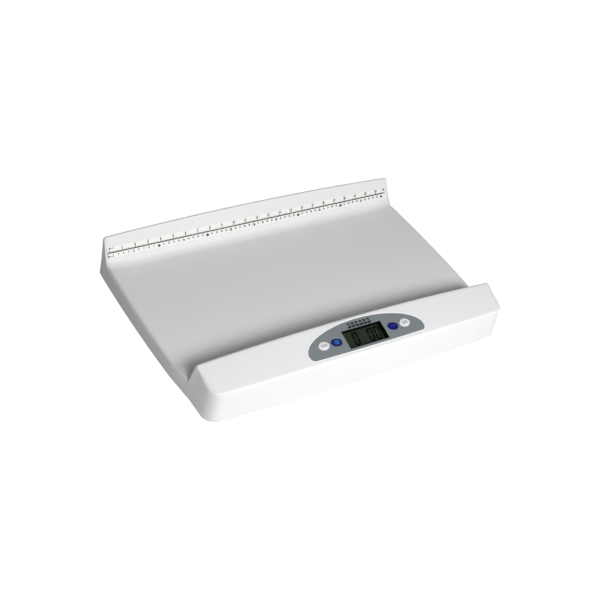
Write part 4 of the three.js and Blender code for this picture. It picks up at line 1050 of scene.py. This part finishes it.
# Nodes that keep their CAD form, by their look
nodeLooks = {
    "panPlastic": ["base_pan", "battery_door"],
    "screwSteel": [f"base_screw_{k}" for k in range(1, 7)] + ["load_cell_" + c for c in corners],
    "springSteel": ["contact_strip_" + strip for strip in strips],
    "blackPlastic": ["lcd_carrier", "power_jack"],
    "boardGreen": ["main_board"],
    "plungerIvory": ["switch_plunger_" + key for key in keys],
    "greyPlastic": ["cell_clamp_" + c for c in corners],
    "batteryWrap": [f"battery_{k}" for k in range(1, 7)],
    "wireGrey": ["cell_cable_" + c for c in corners],
    "wireRed": ["battery_lead_red"],
    "wireBlack": ["battery_lead_black", "jack_cable"],
    "tapeFilm": ["measuring_tape"],
}


def dressNodes():
    for look, nodeNames in nodeLooks.items():
        nodeMaterial(nodeNames, lookMaterial(look))
    nodeMaterial(["display_lens"], clearMaterial())
    nodeMaterial(["lcd_glass"], lcdMaterial())


dressNodes()
print("nodes dressed")

# Light: two round softboxes in front, one at each side, a weak sky and a white ground
light = {
    "target": (-0.1, -0.1, 0.08), "distance": 1.6, "size": 0.5,
    "boxes": {
        "rightBox": {"toward": (0.35, -0.75, 0.58), "power": 13.2},
        "leftBox": {"toward": (-0.35, -0.70, 0.62), "power": 10.8},
    },
    "white": (1, 1, 1, 1), "sky": 0.18, "background": 1.0, "groundSize": 14, "groundGlow": 0.88,
    "groundColour": (0.7, 0.7, 0.7, 1),
}


def makeLight():
    for name, box in light["boxes"].items():
        lamp = bpy.data.lights.new(name, "AREA")
        lamp.shape = "DISK"
        lamp.size = light["size"]
        lamp.energy = box["power"]
        holder = bpy.data.objects.new(name, lamp)
        toward = Vector(box["toward"]).normalized()
        holder.location = Vector(light["target"]) + toward * light["distance"]
        holder.rotation_euler = toward.to_track_quat("Z", "Y").to_euler()
        bpy.context.scene.collection.objects.link(holder)
    world = bpy.data.worlds.new("studio")
    bpy.context.scene.world = world
    world.use_nodes = True
    nodes, links = world.node_tree.nodes, world.node_tree.links
    nodes.clear()
    output = nodes.new("ShaderNodeOutputWorld")
    paths = nodes.new("ShaderNodeLightPath")
    mixer = nodes.new("ShaderNodeMixShader")
    links.new(paths.outputs["Is Camera Ray"], mixer.inputs["Fac"])
    for socket, strength in ((1, light["sky"]), (2, light["background"])):
        glow = nodes.new("ShaderNodeBackground")
        setInputs(glow, {"Color": light["white"], "Strength": strength})
        links.new(glow.outputs["Background"], mixer.inputs[socket])
    links.new(mixer.outputs["Shader"], output.inputs["Surface"])


# White ground that glows a little for the camera, so that it reads as paper and still takes the shadow
def makeGround():
    size = light["groundSize"]
    places = [[-size, -size, 0], [size, -size, 0], [size, size, 0], [-size, size, 0]]
    ground = meshObject("ground", places, [(0, 1, 2, 3)])
    material = bpy.data.materials.new("groundPaper")
    material.use_nodes = True
    nodes, links = material.node_tree.nodes, material.node_tree.links
    nodes.clear()
    output = nodes.new("ShaderNodeOutputMaterial")
    diffuse = nodes.new("ShaderNodeBsdfDiffuse")
    diffuse.inputs["Color"].default_value = light["groundColour"]
    glow = nodes.new("ShaderNodeEmission")
    glow.inputs["Color"].default_value = light["white"]
    paths = nodes.new("ShaderNodeLightPath")
    strength = nodes.new("ShaderNodeMath")
    strength.operation = "MULTIPLY"
    strength.inputs[1].default_value = light["groundGlow"]
    links.new(paths.outputs["Is Camera Ray"], strength.inputs[0])
    links.new(strength.outputs["Value"], glow.inputs["Strength"])
    added = nodes.new("ShaderNodeAddShader")
    links.new(diffuse.outputs["BSDF"], added.inputs[0])
    links.new(glow.outputs["Emission"], added.inputs[1])
    links.new(added.outputs["Shader"], output.inputs["Surface"])
    setMaterials(ground, material)


makeLight()
makeGround()
bpy.context.scene.view_settings.view_transform = "Standard"
print("lights set")
